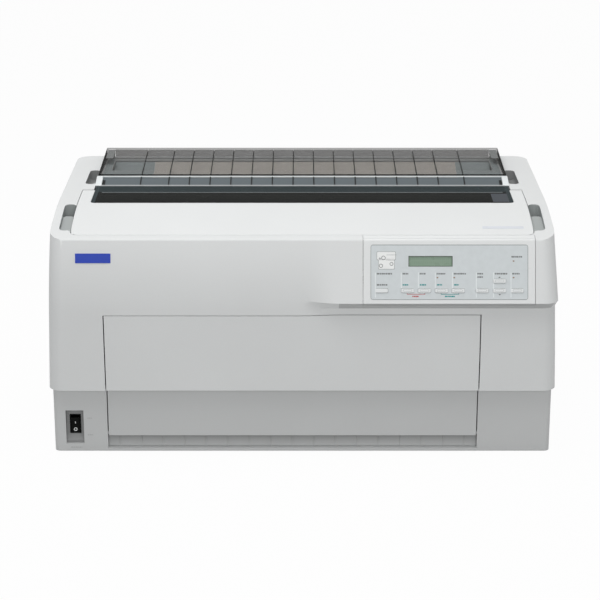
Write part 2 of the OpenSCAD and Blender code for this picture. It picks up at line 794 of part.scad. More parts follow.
module chassis() {
    color([0.62, 0.64, 0.66]) {
        difference() {
            block([-frame_out, frame_out], chassis_y, plate_z);
            for (p = screw_points) post(p, [0, 20], screw_r);
        }
        for (s = [-1, 1]) difference() {
            along_x(notch_x(s, [frame_in, frame_out])) polygon([[chassis_y[0] - 4, plate_z[1]],
                [chassis_y[1], plate_z[1]], [chassis_y[1], 200], [60, platen_z + 28], [20, platen_z + 28],
                [-20, platen_z + 5], [chassis_y[0] - 4, platen_z + 5]]);
            rod([-far, far], [0, platen_z], bearing_r);
            rod([-far, far], bail_pivot, 3 + pin_gap);
            rod([-far, far], tractor_at, guide_r + pin_gap);
            if (s < 0) rod([-far, 0], pinion_at, motor_shaft_r + 1);
        }
        for (s = [-1, 1]) block(notch_x(s, [frame_in - 10, frame_in]), [belt_y - 20, belt_y + 4],
            [cartridge_z[0] - 4, cartridge_z[0]]);
        block([-frame_in, -frame_in + 40], [belt_y - 24, belt_y + 24], bracket_z);
        post([-pulley_x, belt_y], [bracket_z[1] - eps, belt_z[1] + 2], motor_shaft_r);
    }
}

module fasteners() {
    color([0.75, 0.75, 0.76]) for (p = screw_points) {
        post(p, [foot_h + 0.5, plate_z[1]], screw_r);
        post(p, [plate_z[1], plate_z[1] + 2.4], 4);
    }
}

module power_supply() {
    color([0.55, 0.5, 0.3]) {
        block([9 - frame_in, -60], [0, 140], board_z);
        for (x = [19 - frame_in, -70], y = [10, 130]) post([x, y], [plate_z[1], board_z[0]], 3);
    }
    color([0.3, 0.3, 0.32]) block([17 - frame_in, 87 - frame_in], [15, 75], [board_z[1], 72]);
    color([0.7, 0.7, 0.72]) {
        for (i = [0:6]) block([-195, -120], [20 + 7 * i, 22 + 7 * i], [board_z[1], 55]);
        block([-195, -120], [20, 64], [board_z[1], 17]);
    }
    color([0.15, 0.2, 0.45]) for (i = [0:3]) post([-96, 20 + 32 * i], [board_z[1], 48], 12);
}

module main_board() {
    color([0.1, 0.35, 0.2]) {
        block([20, frame_in - 9], [10, base_back - 20], board_z);
        for (x = [30, frame_in - 19], y = [20, chassis_y[1] - 5]) post([x, y], [plate_z[1], board_z[0]], 3);
    }
    color([0.15, 0.15, 0.16]) for (i = [0:3], j = [0:1])
        block([40 + 55 * i, 72 + 55 * i], [30 + 50 * j, 55 + 50 * j], [board_z[1], 18]);
    color([0.6, 0.6, 0.62]) for (s = sockets_x) difference() {
        block(s, [base_back - 24, base_back], [board_z[1], socket_z[1]]);
        block([s[0] + 2, s[1] - 2], [base_back - 10, base_back + 1], [socket_z[0] + 2, socket_z[1] - 2]);
    }
}

module fan_frame() {
    h = fan_w / 2;
    x = [frame_out, frame_out + 20];
    color([0.1, 0.1, 0.1]) {
        difference() {
            block(x, [fan_c[0] - h, fan_c[0] + h], [fan_c[1] - h, fan_c[1] + h]);
            rod([x[0] + 2, x[1] + 1], fan_c, h - 3);
            rod([x[0] - 1, x[1]], fan_c, h - 8);
        }
        block([x[0], x[0] + 2], [fan_c[0] - h + 1, fan_c[0] + h - 1], [fan_c[1] - 4, fan_c[1] + 4]);
        rod([x[0], x[1] - 5], fan_c, 2);
    }
}

module fan_rotor() {
    x = [frame_out + 2.5, frame_out + 17];
    color([0.14, 0.14, 0.14]) difference() {
        union() {
            rod(x, fan_c, fan_w / 6);
            for (i = [0:6]) translate([(x[0] + x[1]) / 2, fan_c[0], fan_c[1]]) rotate([i * 360 / 7, 0, 0])
                translate([0, 0, fan_w / 6 - 1]) rotate([0, 0, 35]) translate([-1, -7, 0])
                cube([2, 14, fan_w / 3 - 3.5]);
        }
        rod([x[0] - 1, x[1] - 1], fan_c, 2 + pin_gap);
    }
}

module platen_bearings() {
    color([0.9, 0.88, 0.8]) for (s = [-1, 1]) difference() {
        rod(notch_x(s, [frame_in - 2, frame_out + 1]), [0, platen_z], bearing_r);
        rod([-far, far], [0, platen_z], platen_shaft_r + pin_gap);
    }
}

module guide_shafts() {
    color([0.75, 0.76, 0.78]) {
        rod([-frame_in, frame_in], main_shaft, shaft_r);
        rod([-frame_in, frame_in], guide_shaft, guide_r);
        rod([-frame_in, frame_in], rail, guide_r);
    }
}

module carriage_motor() {
    color([0.2, 0.2, 0.22]) difference() {
        union() {
            post([pulley_x, belt_y], [bracket_z[0] - 46, bracket_z[0]], 16);
            block([frame_in - 40, frame_in], [belt_y - 24, belt_y + 24], bracket_z);
        }
        post([pulley_x, belt_y], [bracket_z[0] - 30, bracket_z[1] + 1], motor_shaft_r + pin_gap);
    }
}

module feed_motor() {
    color([0.2, 0.2, 0.22]) difference() {
        union() {
            rod([-frame_in, 40 - frame_in], pinion_at, motor_r);
            block([-frame_in, 2 - frame_in], [pinion_at[0] - 20, pinion_at[0] + 24],
                [pinion_at[1] - 26, pinion_at[1] + 20]);
        }
        rod([-frame_in - 1, 20 - frame_in], pinion_at, motor_shaft_r + pin_gap);
    }
}

belt_gap = 0.3;
belt_t = 1.5;

module belt_loop(a, b, r) {
    d = norm(b - a);
    translate(a) rotate(atan2(b[1] - a[1], b[0] - a[0])) union() {
        circle(r);
        translate([d, 0]) circle(r);
        translate([0, -r]) square([d, 2 * r]);
    }
}

module belt_ring(a, b) {
    difference() {
        belt_loop(a, b, pulley_r + belt_gap + belt_t);
        belt_loop(a, b, pulley_r + belt_gap);
    }
}

module drive_belt() {
    color([0.1, 0.1, 0.1]) translate([0, 0, belt_z[0] + 0.5])
        linear_extrude(height = belt_z[1] - belt_z[0] - 1)
            belt_ring([-pulley_x, belt_y], [pulley_x, belt_y]);
}

feed_belt_x = [-frame_out - 19, -frame_out - 12];

module feed_belt() {
    color([0.1, 0.1, 0.1]) along_x([feed_belt_x[0] + 0.5, feed_belt_x[1] - 0.5])
        belt_ring(tractor_at, pinion_at);
}

module pulley(at) {
    post(at, belt_z, pulley_r);
    post(at, [belt_z[0] - 1, belt_z[0] + 0.3], pulley_r + 2.5);
    post(at, [belt_z[1] - 0.3, belt_z[1] + 1], pulley_r + 2.5);
}

module drive_pulley() {
    color([0.85, 0.85, 0.8]) {
        pulley([pulley_x, belt_y]);
        post([pulley_x, belt_y], [bracket_z[0] - 26, belt_z[0]], motor_shaft_r);
    }
}

module idler_pulley() {
    color([0.85, 0.85, 0.8]) difference() {
        pulley([-pulley_x, belt_y]);
        post([-pulley_x, belt_y], [belt_z[0] - 3, belt_z[1] + 3], motor_shaft_r + pin_gap);
    }
}

// ---- Platen and feed ----
function gear_points(n, turn) = [for (i = [0:n - 1]) for (q = [
    [-0.30, -1.25], [-0.13, 1], [0.13, 1], [0.30, -1.25]
]) let (a = turn + (i + q[0]) * 360 / n, r = gear_m * (n / 2 + q[1])) [r * cos(a), r * sin(a)]];

module platen_roller() {
    half = frame_in - 13;
    color([0.1, 0.1, 0.1]) rod([-half, half], [0, platen_z], platen_r);
    color([0.75, 0.75, 0.78]) {
        rod([-frame_out - 11, -half], [0, platen_z], platen_shaft_r);
        rod([half, frame_out + 5], [0, platen_z], platen_shaft_r);
    }
}

module platen_gear() {
    color([0.88, 0.88, 0.84]) difference() {
        along_x([-frame_out - 9, -frame_out - 3]) translate([0, platen_z])
            polygon(gear_points(2 * pinion_teeth, pinion_angle));
        rod([-far, 0], [0, platen_z], platen_shaft_r);
    }
}

module feed_pinion() {
    color([0.85, 0.82, 0.7]) {
        along_x([-frame_out - 9, -frame_out - 3]) translate(pinion_at)
            polygon(gear_points(pinion_teeth, 180 + pinion_angle + 180 / pinion_teeth));
        rod([feed_belt_x[0] - 1, 18 - frame_in], pinion_at, motor_shaft_r);
        rod(feed_belt_x, pinion_at, pulley_r);
    }
}

paper_half = frame_in - 49;

module paper_guide() {
    color([0.5, 0.52, 0.54]) {
        difference() {
            rod([-paper_half, paper_half], [0, platen_z], platen_r + 5.5);
            rod([-far, far], [0, platen_z], platen_r + 3.5);
            block([-far, far], [-60, 60], [platen_z - 3, platen_z + 60]);
            block([-far, far], [-60, -8], [platen_z - 60, platen_z + 60]);
        }
        block([-frame_in, frame_in], [-6, 6], [platen_z - platen_r - 10, platen_z - platen_r - 5]);
        block([-paper_half, paper_half], [-8, -6 + eps], [platen_z - platen_r - 9, platen_z - platen_r - 3]);
    }
}

bail_r = 3;
roller_r = 6;
bail_gap = 0.3;
bail_angle = 123;
bail_reach = platen_r + roller_r + bail_gap;
bail_at = [bail_reach * cos(bail_angle), platen_z + bail_reach * sin(bail_angle)];

module paper_bail() {
    x = [frame_in - 8, frame_in - 5.5];
    color([0.7, 0.71, 0.73]) {
        rod([-x[1], x[1]], bail_at, bail_r);
        for (s = [-1, 1]) {
            along_x(notch_x(s, x)) belt_loop(bail_at, bail_pivot, 5);
            rod(notch_x(s, [x[1] - 0.5, frame_out]), bail_pivot, 3);
        }
    }
    color([0.15, 0.15, 0.15]) for (i = [-2.5:1:2.5]) rod([i * 92 - 10, i * 92 + 10], bail_at, roller_r);
}

// ---- Printing ----
carriage_x = -205;
carriage_w = 68;
head_w = 34;
plate_y = [guide_shaft[0] - 7, main_shaft[0] + 12];
deck_z = [belt_z[1] + 4.5, belt_z[1] + 9];
clamp_y = belt_y - pulley_r - belt_gap;

module print_carriage() {
    x = [carriage_x - carriage_w / 2, carriage_x + carriage_w / 2];
    color([0.35, 0.36, 0.38]) {
        block(x, plate_y, deck_z);
        difference() {
            block(x, [main_shaft[0] - 10, main_shaft[0] + 10], [main_shaft[1] - 10, deck_z[0]]);
            rod([-far, far], main_shaft, shaft_r + pin_gap);
        }
        difference() {
            block(x, [guide_shaft[0] - 6.5, guide_shaft[0] + 6.5], [guide_shaft[1] - 7, deck_z[0]]);
            rod([-far, far], guide_shaft, guide_r + pin_gap);
        }
        difference() {
            block(x, [clamp_y - belt_t - 2.5, clamp_y + 2.5], [belt_z[0] - 2.5, deck_z[0]]);
            block([x[0] - 1, x[1] + 1], [clamp_y - belt_t - 0.4, clamp_y + 0.4], [belt_z[0], belt_z[1]]);
        }
    }
}

head_nose = -platen_r - 2;

module print_head() {
    x = [carriage_x - head_w / 2, carriage_x + head_w / 2];
    color([0.3, 0.31, 0.33]) {
        block(x, [main_shaft[0] - 4, -38], [deck_z[1], platen_z + 14]);
        for (i = [0:4])
            block([x[0] - 3, x[1] + 3], [-64 + 6 * i, -61.5 + 6 * i], [deck_z[1] + 4, platen_z + 12]);
    }
    color([0.7, 0.7, 0.72]) along_x([carriage_x - 6, carriage_x + 6]) polygon([[-38, platen_z - 9],
        [head_nose, platen_z - 4], [head_nose, platen_z + 4], [-38, platen_z + 9]]);
}

cartridge_y = [y_edge + 19, y_edge + 79];
cartridge_half = frame_in - 14;
arm_w = 22;
ribbon_y = [head_nose + 0.3, head_nose + 0.6];

module ribbon_cartridge() {
    color([0.12, 0.12, 0.13]) {
        difference() {
            block([-cartridge_half, cartridge_half], cartridge_y, cartridge_z);
            post(knob_at, [cartridge_z[0] + 10, cartridge_z[1] + 1], 3 + pin_gap);
        }
        for (s = [-1, 1]) {
            block(notch_x(s, [cartridge_half - arm_w, cartridge_half]), [cartridge_y[1], ribbon_y[1]],
                [platen_z - 6, platen_z + 14]);
            block(notch_x(s, [cartridge_half, frame_in - 0.5]), [belt_y - 18, belt_y + 2],
                [cartridge_z[0], cartridge_z[0] + 4]);
        }
    }
}

module ribbon() {
    color([0.05, 0.05, 0.05]) block([arm_w - cartridge_half, cartridge_half - arm_w], ribbon_y,
        [platen_z - 6, platen_z + 7]);
}

knob_at = [35 - cartridge_half, belt_y - 8];

module ribbon_knob() {
    color([0.2, 0.45, 0.6]) {
        post(knob_at, [cartridge_z[0] + 11, cartridge_z[1] + 0.5], 3);
        difference() {
            post(knob_at, [cartridge_z[1] + seat_gap, cartridge_z[1] + 8], 9);
            for (i = [0:11]) post([knob_at[0] + 9.4 * cos(30 * i), knob_at[1] + 9.4 * sin(30 * i)],
                [cartridge_z[1], cartridge_z[1] + 9], 1.2);
        }
    }
}

// ---- Tractors ----
left_x = -225;
right_x = 175;
tractor_w = 26;
sprocket_w = 7;
sprocket_r = 9;
pin_reach = 3.3;
tractor_y = [tractor_at[0] - 37, tractor_at[0] + 27];
tractor_z = [rail[1] - 8, tractor_at[1] + 9.6];
flap_z = [tractor_at[1] + 14, tractor_at[1] + 16.5];
flap_pin_r = 1.5;
sprocket_room = 1;

module tractor_shaft() {
    w = tractor_shaft_w / 2;
    color([0.72, 0.73, 0.75]) {
        block([3 - frame_in, frame_in - 3], [tractor_at[0] - w, tractor_at[0] + w],
            [tractor_at[1] - w, tractor_at[1] + w]);
        rod([feed_belt_x[0] - 1, 4 - frame_in], tractor_at, guide_r);
        rod([frame_in - 4, frame_out + 2], tractor_at, guide_r);
        rod(feed_belt_x, tractor_at, pulley_r);
    }
}

module tractor(x, side) {
    half = tractor_w / 2;
    hinge_x = x + side * (half + 4);
    color([0.25, 0.26, 0.28]) {
        difference() {
            block([x - half, x + half], tractor_y, tractor_z);
            rod([x - half - 1, x + half + 1], tractor_at, tractor_shaft_w * 0.72 + 0.4);
            rod([x - sprocket_w / 2 - sprocket_room, x + sprocket_w / 2 + sprocket_room], tractor_at,
                sprocket_r + pin_reach + 1);
            rod([x - half - 1, x + half + 1], rail, guide_r + pin_gap);
        }
        for (y = [tractor_y[0] + 4, tractor_y[1] - 12]) difference() {
            union() {
                block([min(x + side * half, hinge_x), max(x + side * half, hinge_x)], [y, y + 8],
                    [flap_z[0] - 12, flap_z[0] - 5]);
                block([hinge_x - 3.5, hinge_x + 3.5], [y, y + 8], [flap_z[0] - 12, flap_z[0] + 0.8]);
            }
            translate([hinge_x, y - 1, flap_z[0] - 2]) rotate([-90, 0, 0])
                cylinder(h = 10, r = flap_pin_r + pin_gap);
        }
    }
}

module sprocket(x) {
    bore = tractor_shaft_w / 2 + 0.08;
    color([0.85, 0.83, 0.75]) difference() {
        union() {
            rod([x - sprocket_w / 2, x + sprocket_w / 2], tractor_at, sprocket_r);
            for (i = [0:4]) translate([x, tractor_at[0], tractor_at[1]]) rotate([72 * i, 0, 0])
                cylinder(h = sprocket_r + pin_reach, r = 1.3);
        }
        block([x - sprocket_w, x + sprocket_w], [tractor_at[0] - bore, tractor_at[0] + bore],
            [tractor_at[1] - bore, tractor_at[1] + bore]);
    }
}

module tractor_flap(x, side) {
    half = tractor_w / 2;
    hinge_x = x + side * (half + 4);
    edges = side > 0 ? [x - half, hinge_x - 5] : [hinge_x + 5, x + half];
    mid = tractor_y[0] + 12.5;
    color([0.3, 0.31, 0.33]) {
        difference() {
            block(edges, tractor_y, flap_z);
            block([x - sprocket_w / 2 - 1, x + sprocket_w / 2 + 1], [tractor_at[0] - 20, tractor_at[0] + 20],
                [flap_z[0] - 1, flap_z[1] + 1]);
        }
        block([min(x + side * (half - 2), hinge_x + side), max(x + side * (half - 2), hinge_x + side)],
            [mid, tractor_y[1] - 12.5], flap_z);
        translate([hinge_x, tractor_y[0] + 3, flap_z[0] - 2]) rotate([-90, 0, 0])
            cylinder(h = tractor_y[1] - tractor_y[0] - 6, r = flap_pin_r);
        block([hinge_x - 1.5, hinge_x + 1.5], [mid, tractor_y[1] - 12.5], [flap_z[0] - 2, flap_z[0] + 1]);
    }
}

base_shell();
upper_shell();
chassis();
rubber_feet();
panel_housing();
panel_overlay();
lcd_window();
panel_board();
indicator_leds();
badge_plate();
switch_housing();
ac_inlet();
power_supply();
main_board();
fan_frame();
platen_bearings();
guide_shafts();
carriage_motor();
feed_motor();
drive_belt();
feed_belt();
paper_guide();
exit_guide();
exit_bars();
entry_guide();
fasteners();
printer_cover();
cover_window();
paper_lid();
front_cover();
rear_cover();
power_rocker();
for (i = [0:8]) button(i);
platen_roller();
platen_gear();
feed_pinion();
print_carriage();
print_head();
ribbon_cartridge();
ribbon();
ribbon_knob();
drive_pulley();
idler_pulley();
tractor_shaft();
tractor(left_x, -1);  // left_tractor
tractor(right_x, 1);  // right_tractor
sprocket(left_x);  // left_sprocket
sprocket(right_x);  // right_sprocket
tractor_flap(left_x, -1);  // left_tractor_cover
tractor_flap(right_x, 1);  // right_tractor_cover
fan_rotor();
paper_bail();
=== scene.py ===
import json
import math

import bpy
from mathutils import Matrix, Vector

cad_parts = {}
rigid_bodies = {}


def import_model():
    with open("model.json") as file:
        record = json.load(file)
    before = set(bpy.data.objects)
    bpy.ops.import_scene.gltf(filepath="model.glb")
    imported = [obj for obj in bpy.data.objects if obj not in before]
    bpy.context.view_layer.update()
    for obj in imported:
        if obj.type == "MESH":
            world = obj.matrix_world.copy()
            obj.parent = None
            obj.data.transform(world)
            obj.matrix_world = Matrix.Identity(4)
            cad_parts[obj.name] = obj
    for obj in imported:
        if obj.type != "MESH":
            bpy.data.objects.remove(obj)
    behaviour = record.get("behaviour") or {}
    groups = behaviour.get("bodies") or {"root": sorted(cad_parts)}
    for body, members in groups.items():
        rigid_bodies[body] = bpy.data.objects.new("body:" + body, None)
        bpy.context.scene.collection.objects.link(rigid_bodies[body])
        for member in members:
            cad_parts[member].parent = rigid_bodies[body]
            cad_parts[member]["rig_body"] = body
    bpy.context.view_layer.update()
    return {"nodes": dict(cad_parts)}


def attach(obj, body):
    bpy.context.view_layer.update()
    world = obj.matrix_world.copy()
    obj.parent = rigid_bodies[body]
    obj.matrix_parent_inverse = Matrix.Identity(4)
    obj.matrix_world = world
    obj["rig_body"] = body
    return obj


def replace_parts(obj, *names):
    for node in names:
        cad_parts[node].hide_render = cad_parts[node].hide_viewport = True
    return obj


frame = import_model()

nodes = frame["nodes"]
ROOT = nodes["upper_shell"]["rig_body"]
MM = 0.001
FAR = math.inf

# ---- Sizes of the part, in millimetres; S runs up the control panel, from 0 at the case edge ----
EDGE_Y, EDGE_Z = -169.0, 312.3      # front top edge of the case
PANEL_TILT = 18                     # lean of the control panel, in degrees
RELIEF_TOP = 229.6                  # top of the slope under the panel
SEAM_Z = 97.0                       # seam between the lower and upper case
FRONT_Y = -166.75                   # face that carries the switch's captions
FILM = 0.3                          # thickness of the panel's film
LABEL_X, LABEL_S = (93.6, 306.0), (-81.2, -7.8)
LCD_X, LCD_S, LCD_RIM = (144.2, 204.2), (-36.8, -22.4), 1.1
BUTTON_ROW, BUTTON_UPPER = -69.4, -56.4
BUTTON_X = (107.8, 143.0, 165.9, 189.0, 211.9, 244.4, 267.9, 291.9)
BUTTONS = [(x, BUTTON_ROW) for x in BUTTON_X] + [(267.9, BUTTON_UPPER)]
BUTTON_W, BUTTON_H = 17.4, 5.6
LAMPS = ((286.9, -29.3), (183.6, -51.7), (206.5, -51.7), (287.0, -51.7))
SWITCH = (-319.2, -156.0, 40.0)     # middle of the power rocker
ROCKER_TIP = 8                      # lean of its two halves' common plane, in degrees
LID_HALF, LID_Y = 299.5, (57.8, 189.0)
LID_BACK_Z, LID_THICK, LID_SLOPE = 355.5, 2.5, 3.91
LID_RIBS = [-236, -195, *(30.33 * i - 165 for i in range(13)), 237]
INLET_X, INLET_Z, PIN_PITCH = -286, 37, 7
BOARD_TOP = 13.7                    # upper face of the two boards in the base
HEAD_X = -205                       # print head at rest
PINION_AXIS = (38.97, 239.5)        # Y and Z
BAIL_AXIS = (-14.43, 284.2)
BAIL_ROLLERS = [92 * k for k in (-2.5, -1.5, -0.5, 0.5, 1.5, 2.5)]


# ---- Shader maths ----
class Value:
    """A shader socket that adds, multiplies and compares as a number does."""

    def __init__(self, tree, socket):
        self.tree, self.socket = tree, socket

    def calc(self, operation, other):
        maths = self.tree.nodes.new("ShaderNodeMath")
        maths.operation = operation
        for slot, side in enumerate((self, other)):
            if isinstance(side, Value):
                self.tree.links.new(side.socket, maths.inputs[slot])
            else:
                maths.inputs[slot].default_value = side
        return Value(self.tree, maths.outputs[0])

    def __add__(self, other):
        return self.calc("ADD", other)

    def __mul__(self, other):
        return self.calc("MULTIPLY", other)

    def __gt__(self, other):
        return self.calc("GREATER_THAN", other)

    def __lt__(self, other):
        return self.calc("LESS_THAN", other)

    __radd__, __rmul__ = __add__, __mul__


class Shader:
    """A node tree; its nodes are added through node()."""

    def __init__(self, tree):
        self.tree = tree
        tree.nodes.clear()

    def node(self, kind, settings=None, values=None, out=0):
        added = self.tree.nodes.new(kind)
        for key, value in (settings or {}).items():
            setattr(added, key, value)
        for key, value in (values or {}).items():
            if isinstance(value, Value):
                self.tree.links.new(value.socket, added.inputs[key])
            else:
                added.inputs[key].default_value = value
        return Value(self.tree, added.outputs[out]) if added.outputs else None

    def ray(self, kind):
        return self.node("ShaderNodeLightPath", out=f"Is {kind} Ray")


class Finish(Shader):
    """One material, with the patterns that its look is made of."""

    def __init__(self, name):
        self.material = bpy.data.materials.new(name)
        self.material.use_nodes = True
        super().__init__(self.material.node_tree)
        self.place = self.node("ShaderNodeTexCoord", out="Object")

    def noise(self, scale, detail=2.0, roughness=0.5, stretch=(1, 1, 1)):
        """Noise from 0 to 1 with about scale lumps a metre."""
        where = self.node("ShaderNodeMapping", values={"Vector": self.place, "Scale": stretch})
        return self.node("ShaderNodeTexNoise", values={
            "Vector": where, "Scale": scale, "Detail": detail, "Roughness": roughness}, out="Fac")

    def bands(self, direction, scale):
        return self.node("ShaderNodeTexWave", {"wave_type": "BANDS", "bands_direction": direction},
                         {"Vector": self.place, "Scale": scale}, "Fac")

    def ramp(self, value, low, high):
        """Value stretched so that low becomes 0 and high becomes 1."""
        return self.node("ShaderNodeMapRange", {"clamp": True}, {
            "Value": value, "From Min": low, "From Max": high, "To Min": 0.0, "To Max": 1.0},
            out="Result")

    def blend(self, share, first, second):
        """Mixes two colours; inputs 6 and 7 and output 2 of the Mix node are its colours."""
        sides = [side if isinstance(side, Value) else (*side, 1.0) for side in (first, second)]
        return self.node("ShaderNodeMix", {"data_type": "RGBA"}, {
            0: share, 6: sides[0], 7: sides[1]}, out=2)

    def bump(self, height, distance, strength=1.0):
        return self.node("ShaderNodeBump", values={
            "Height": height, "Distance": distance, "Strength": strength})

    def axis(self, index):
        """The X, Y or Z of a point, in metres."""
        return self.node("ShaderNodeSeparateXYZ", values={"Vector": self.place}, out=index)

    def surface(self, values):
        return self.node("ShaderNodeBsdfPrincipled", values=values)

    def show(self, shader):
        self.node("ShaderNodeOutputMaterial", values={"Surface": shader})
        return self.material


def scaled(colour, factor):
    return tuple(min(1.0, c * factor) for c in colour)


# ---- Kinds of finish ----
def moulded(name, colour, roughness=0.5, grain=1500, depth=0.00002, mottle=0.03, gloss=0.5,
            painted_shadow=None):
    """Moulded plastic with a fine spark-eroded texture.

    Its last argument is a painted shade: two heights in millimetres and the share of colour left
    above the second.
    """
    finish = Finish(name)
    cloud = finish.noise(9, 3)
    fine = finish.noise(grain, 2, 0.6)
    speck = finish.ramp(finish.noise(grain * 0.55, 1), 0.35, 0.75)
    tone = finish.blend(cloud, scaled(colour, 1 - mottle), scaled(colour, 1 + mottle))
    tone = finish.blend(speck * 0.10, tone, scaled(colour, 0.8))
    # Painted shade: the colour darkens between the two heights
    if painted_shadow:
        low, high, share = painted_shadow
        height = finish.ramp(finish.axis(2), low * MM, high * MM)
        tone = finish.blend(height, tone, scaled(colour, share))
    return finish.show(finish.surface({
        "Base Color": tone, "Roughness": cloud * 0.08 + (roughness - 0.04) + speck * 0.04,
        "Specular IOR Level": gloss, "Normal": finish.bump(fine, depth)}))


def smoked(name, colour, alpha, roughness, gloss, patches=()):
    """Smoked clear plastic with fine scuffs and dust.

    patches are spans in X and Y, in millimetres, with colours of their own.
    """
    finish = Finish(name)
    scuff = finish.ramp(finish.noise(260, 4, 0.7, (0.15, 1, 1)), 0.52, 0.78)
    dust = finish.ramp(finish.noise(30, 5, 0.7), 0.35, 0.8)
    tone = finish.blend(dust * 0.35, colour, scaled(colour, 1.6))
    x, y = finish.axis(0) * (1 / MM), finish.axis(1) * (1 / MM)
    for across, along, patch in patches:
        inside = (x > across[0]) * (x < across[1]) * (y > along[0]) * (y < along[1])
        tone = finish.blend(inside * 0.9, tone, patch)
    return finish.show(finish.surface({
        "Base Color": tone, "Roughness": scuff * 0.12 + dust * 0.05 + roughness,
        "Specular IOR Level": gloss, "Alpha": dust * 0.04 + alpha,
        "Normal": finish.bump(finish.noise(14, 1), 0.0002, 0.3)}))


def metal(name, colour, roughness, stretch=(1, 1, 1), scale=900):
    """Bare or ground metal, with drawing marks where stretch is uneven."""
    finish = Finish(name)
    lines = finish.noise(scale, 3, 0.6, stretch)
    cloud = finish.noise(22, 3)
    tone = finish.blend(cloud, scaled(colour, 0.86), scaled(colour, 1.08))
    return finish.show(finish.surface({
        "Base Color": tone, "Metallic": 1.0,
        "Roughness": lines * 0.16 + cloud * 0.1 + (roughness - 0.12),
        "Normal": finish.bump(lines, 0.00001)}))


def zinc(name):
    """Zinc-plated sheet with spangles."""
    finish = Finish(name)
    cells = finish.node("ShaderNodeTexVoronoi", {"feature": "F1"}, {
        "Vector": finish.place, "Scale": 130}, "Color")
    shade = finish.node("ShaderNodeSeparateColor", values={"Color": cells})
    cloud = finish.noise(40, 4)
    tone = finish.blend(shade, (0.42, 0.44, 0.46), (0.62, 0.64, 0.66))
    return finish.show(finish.surface({
        "Base Color": tone, "Metallic": 0.85, "Roughness": shade * 0.14 + cloud * 0.12 + 0.3,
        "Normal": finish.bump(cloud, 0.00003)}))


def rubber(name, colour, ribs=0):
    """Worn rubber; ribs is the scale of a belt's teeth."""
    finish = Finish(name)
    grit = finish.noise(1400, 3, 0.7)
    wear = finish.ramp(finish.noise(26, 4, 0.6), 0.4, 0.75)
    tone = finish.blend(wear, colour, scaled(colour, 2.0))
    height = grit * 0.2 + finish.bands("X", ribs) if ribs else grit
    return finish.show(finish.surface({
        "Base Color": tone, "Roughness": wear * 0.15 + 0.62, "Specular IOR Level": 0.35,
        "Normal": finish.bump(height, 0.0002 if ribs else 0.00004)}))


def circuit(name):
    """Green solder resist over fine copper tracks."""
    finish = Finish(name)
    tracks = finish.node("ShaderNodeTexBrick", {"offset": 0.5, "squash": 1.0}, {
        "Vector": finish.place, "Scale": 70, "Mortar Size": 0.03, "Mortar Smooth": 0.3,
        "Bias": 0.0, "Brick Width": 0.9, "Row Height": 0.18}, "Fac")
    blotch = finish.ramp(finish.noise(55, 2), 0.42, 0.58)
    track = tracks * blotch
    tone = finish.blend(track, (0.012, 0.10, 0.045), (0.03, 0.2, 0.08))
    return finish.show(finish.surface({
        "Base Color": tone, "Roughness": finish.noise(90, 2) * 0.15 + 0.25,
        "Coat Weight": track * 0.3 + 0.2, "Normal": finish.bump(track, 0.00004)}))


def display(name):
    """Pale green glass with rows of blank character cells."""
    finish = Finish(name)
    cell_w, cell_h = 2.9 * MM, 5.2 * MM
    columns = finish.node("ShaderNodeMath", {"operation": "FRACT"}, {
        0: finish.axis(0) * (1 / cell_w)})
    rows = finish.node("ShaderNodeMath", {"operation": "FRACT"}, {
        0: finish.axis(2) * (1 / cell_h) + 0.35})
    cell = (columns > 0.2) * (rows > 0.22)
    cloud = finish.noise(30, 2)
    tone = finish.blend(
        cell * 0.5 + cloud * 0.15, (0.185, 0.27, 0.195), (0.16, 0.24, 0.168))
    return finish.show(finish.surface({
        "Base Color": tone, "Roughness": cloud * 0.1 + 0.22, "Specular IOR Level": 0.3}))


def printed(name, colour, roughness=0.55, gloss=0.5):
    """Ink or film, very slightly uneven."""
    finish = Finish(name)
    cloud = finish.noise(120, 3)
    tone = finish.blend(cloud, scaled(colour, 0.93), scaled(colour, 1.07))
    return finish.show(finish.surface({
        "Base Color": tone, "Roughness": cloud * 0.12 + (roughness - 0.06),
        "Specular IOR Level": gloss, "Normal": finish.bump(finish.noise(2600, 2), 0.000006)}))


def lens(name, colour):
    """Tinted clear plastic of a lamp."""
    finish = Finish(name)
    cloud = finish.noise(700, 2)
    tone = finish.blend(cloud, scaled(colour, 0.8), scaled(colour, 1.15))
    return finish.show(finish.surface({
        "Base Color": tone, "Roughness": cloud * 0.1 + 0.12, "Coat Weight": 0.5}))


def weave(name, colour):
    """Inked nylon ribbon."""
    finish = Finish(name)
    threads = finish.bands("X", 700) + finish.bands("Z", 700)
    cloud = finish.noise(60, 3)
    tone = finish.blend(cloud, colour, scaled(colour, 2.5))
    return finish.show(finish.surface({
        "Base Color": tone, "Roughness": cloud * 0.1 + 0.75,
        "Normal": finish.bump(threads, 0.00004)}))


SHELL = (0.665, 0.675, 0.672)
LID_TONE = (0.035, 0.034, 0.031)
BAY_TONE = (0.040, 0.052, 0.056)
# What shows dimly through the printer cover's window: spans in X and Y, and a colour
WINDOW_VIEW = (
    ((-400, 400), (-6, 30), (0.030, 0.042, 0.045)),      # dark strip at the rear
    ((-288, 288), (-9, -6), (0.17, 0.185, 0.19)),        # pale line in front of it
    ((-400, -293), (-60, 30), BAY_TONE),
    ((293, 400), (-60, 30), BAY_TONE),
    ((270, 293), (-55, -14), (0.085, 0.093, 0.105)))     # block beside the right bay
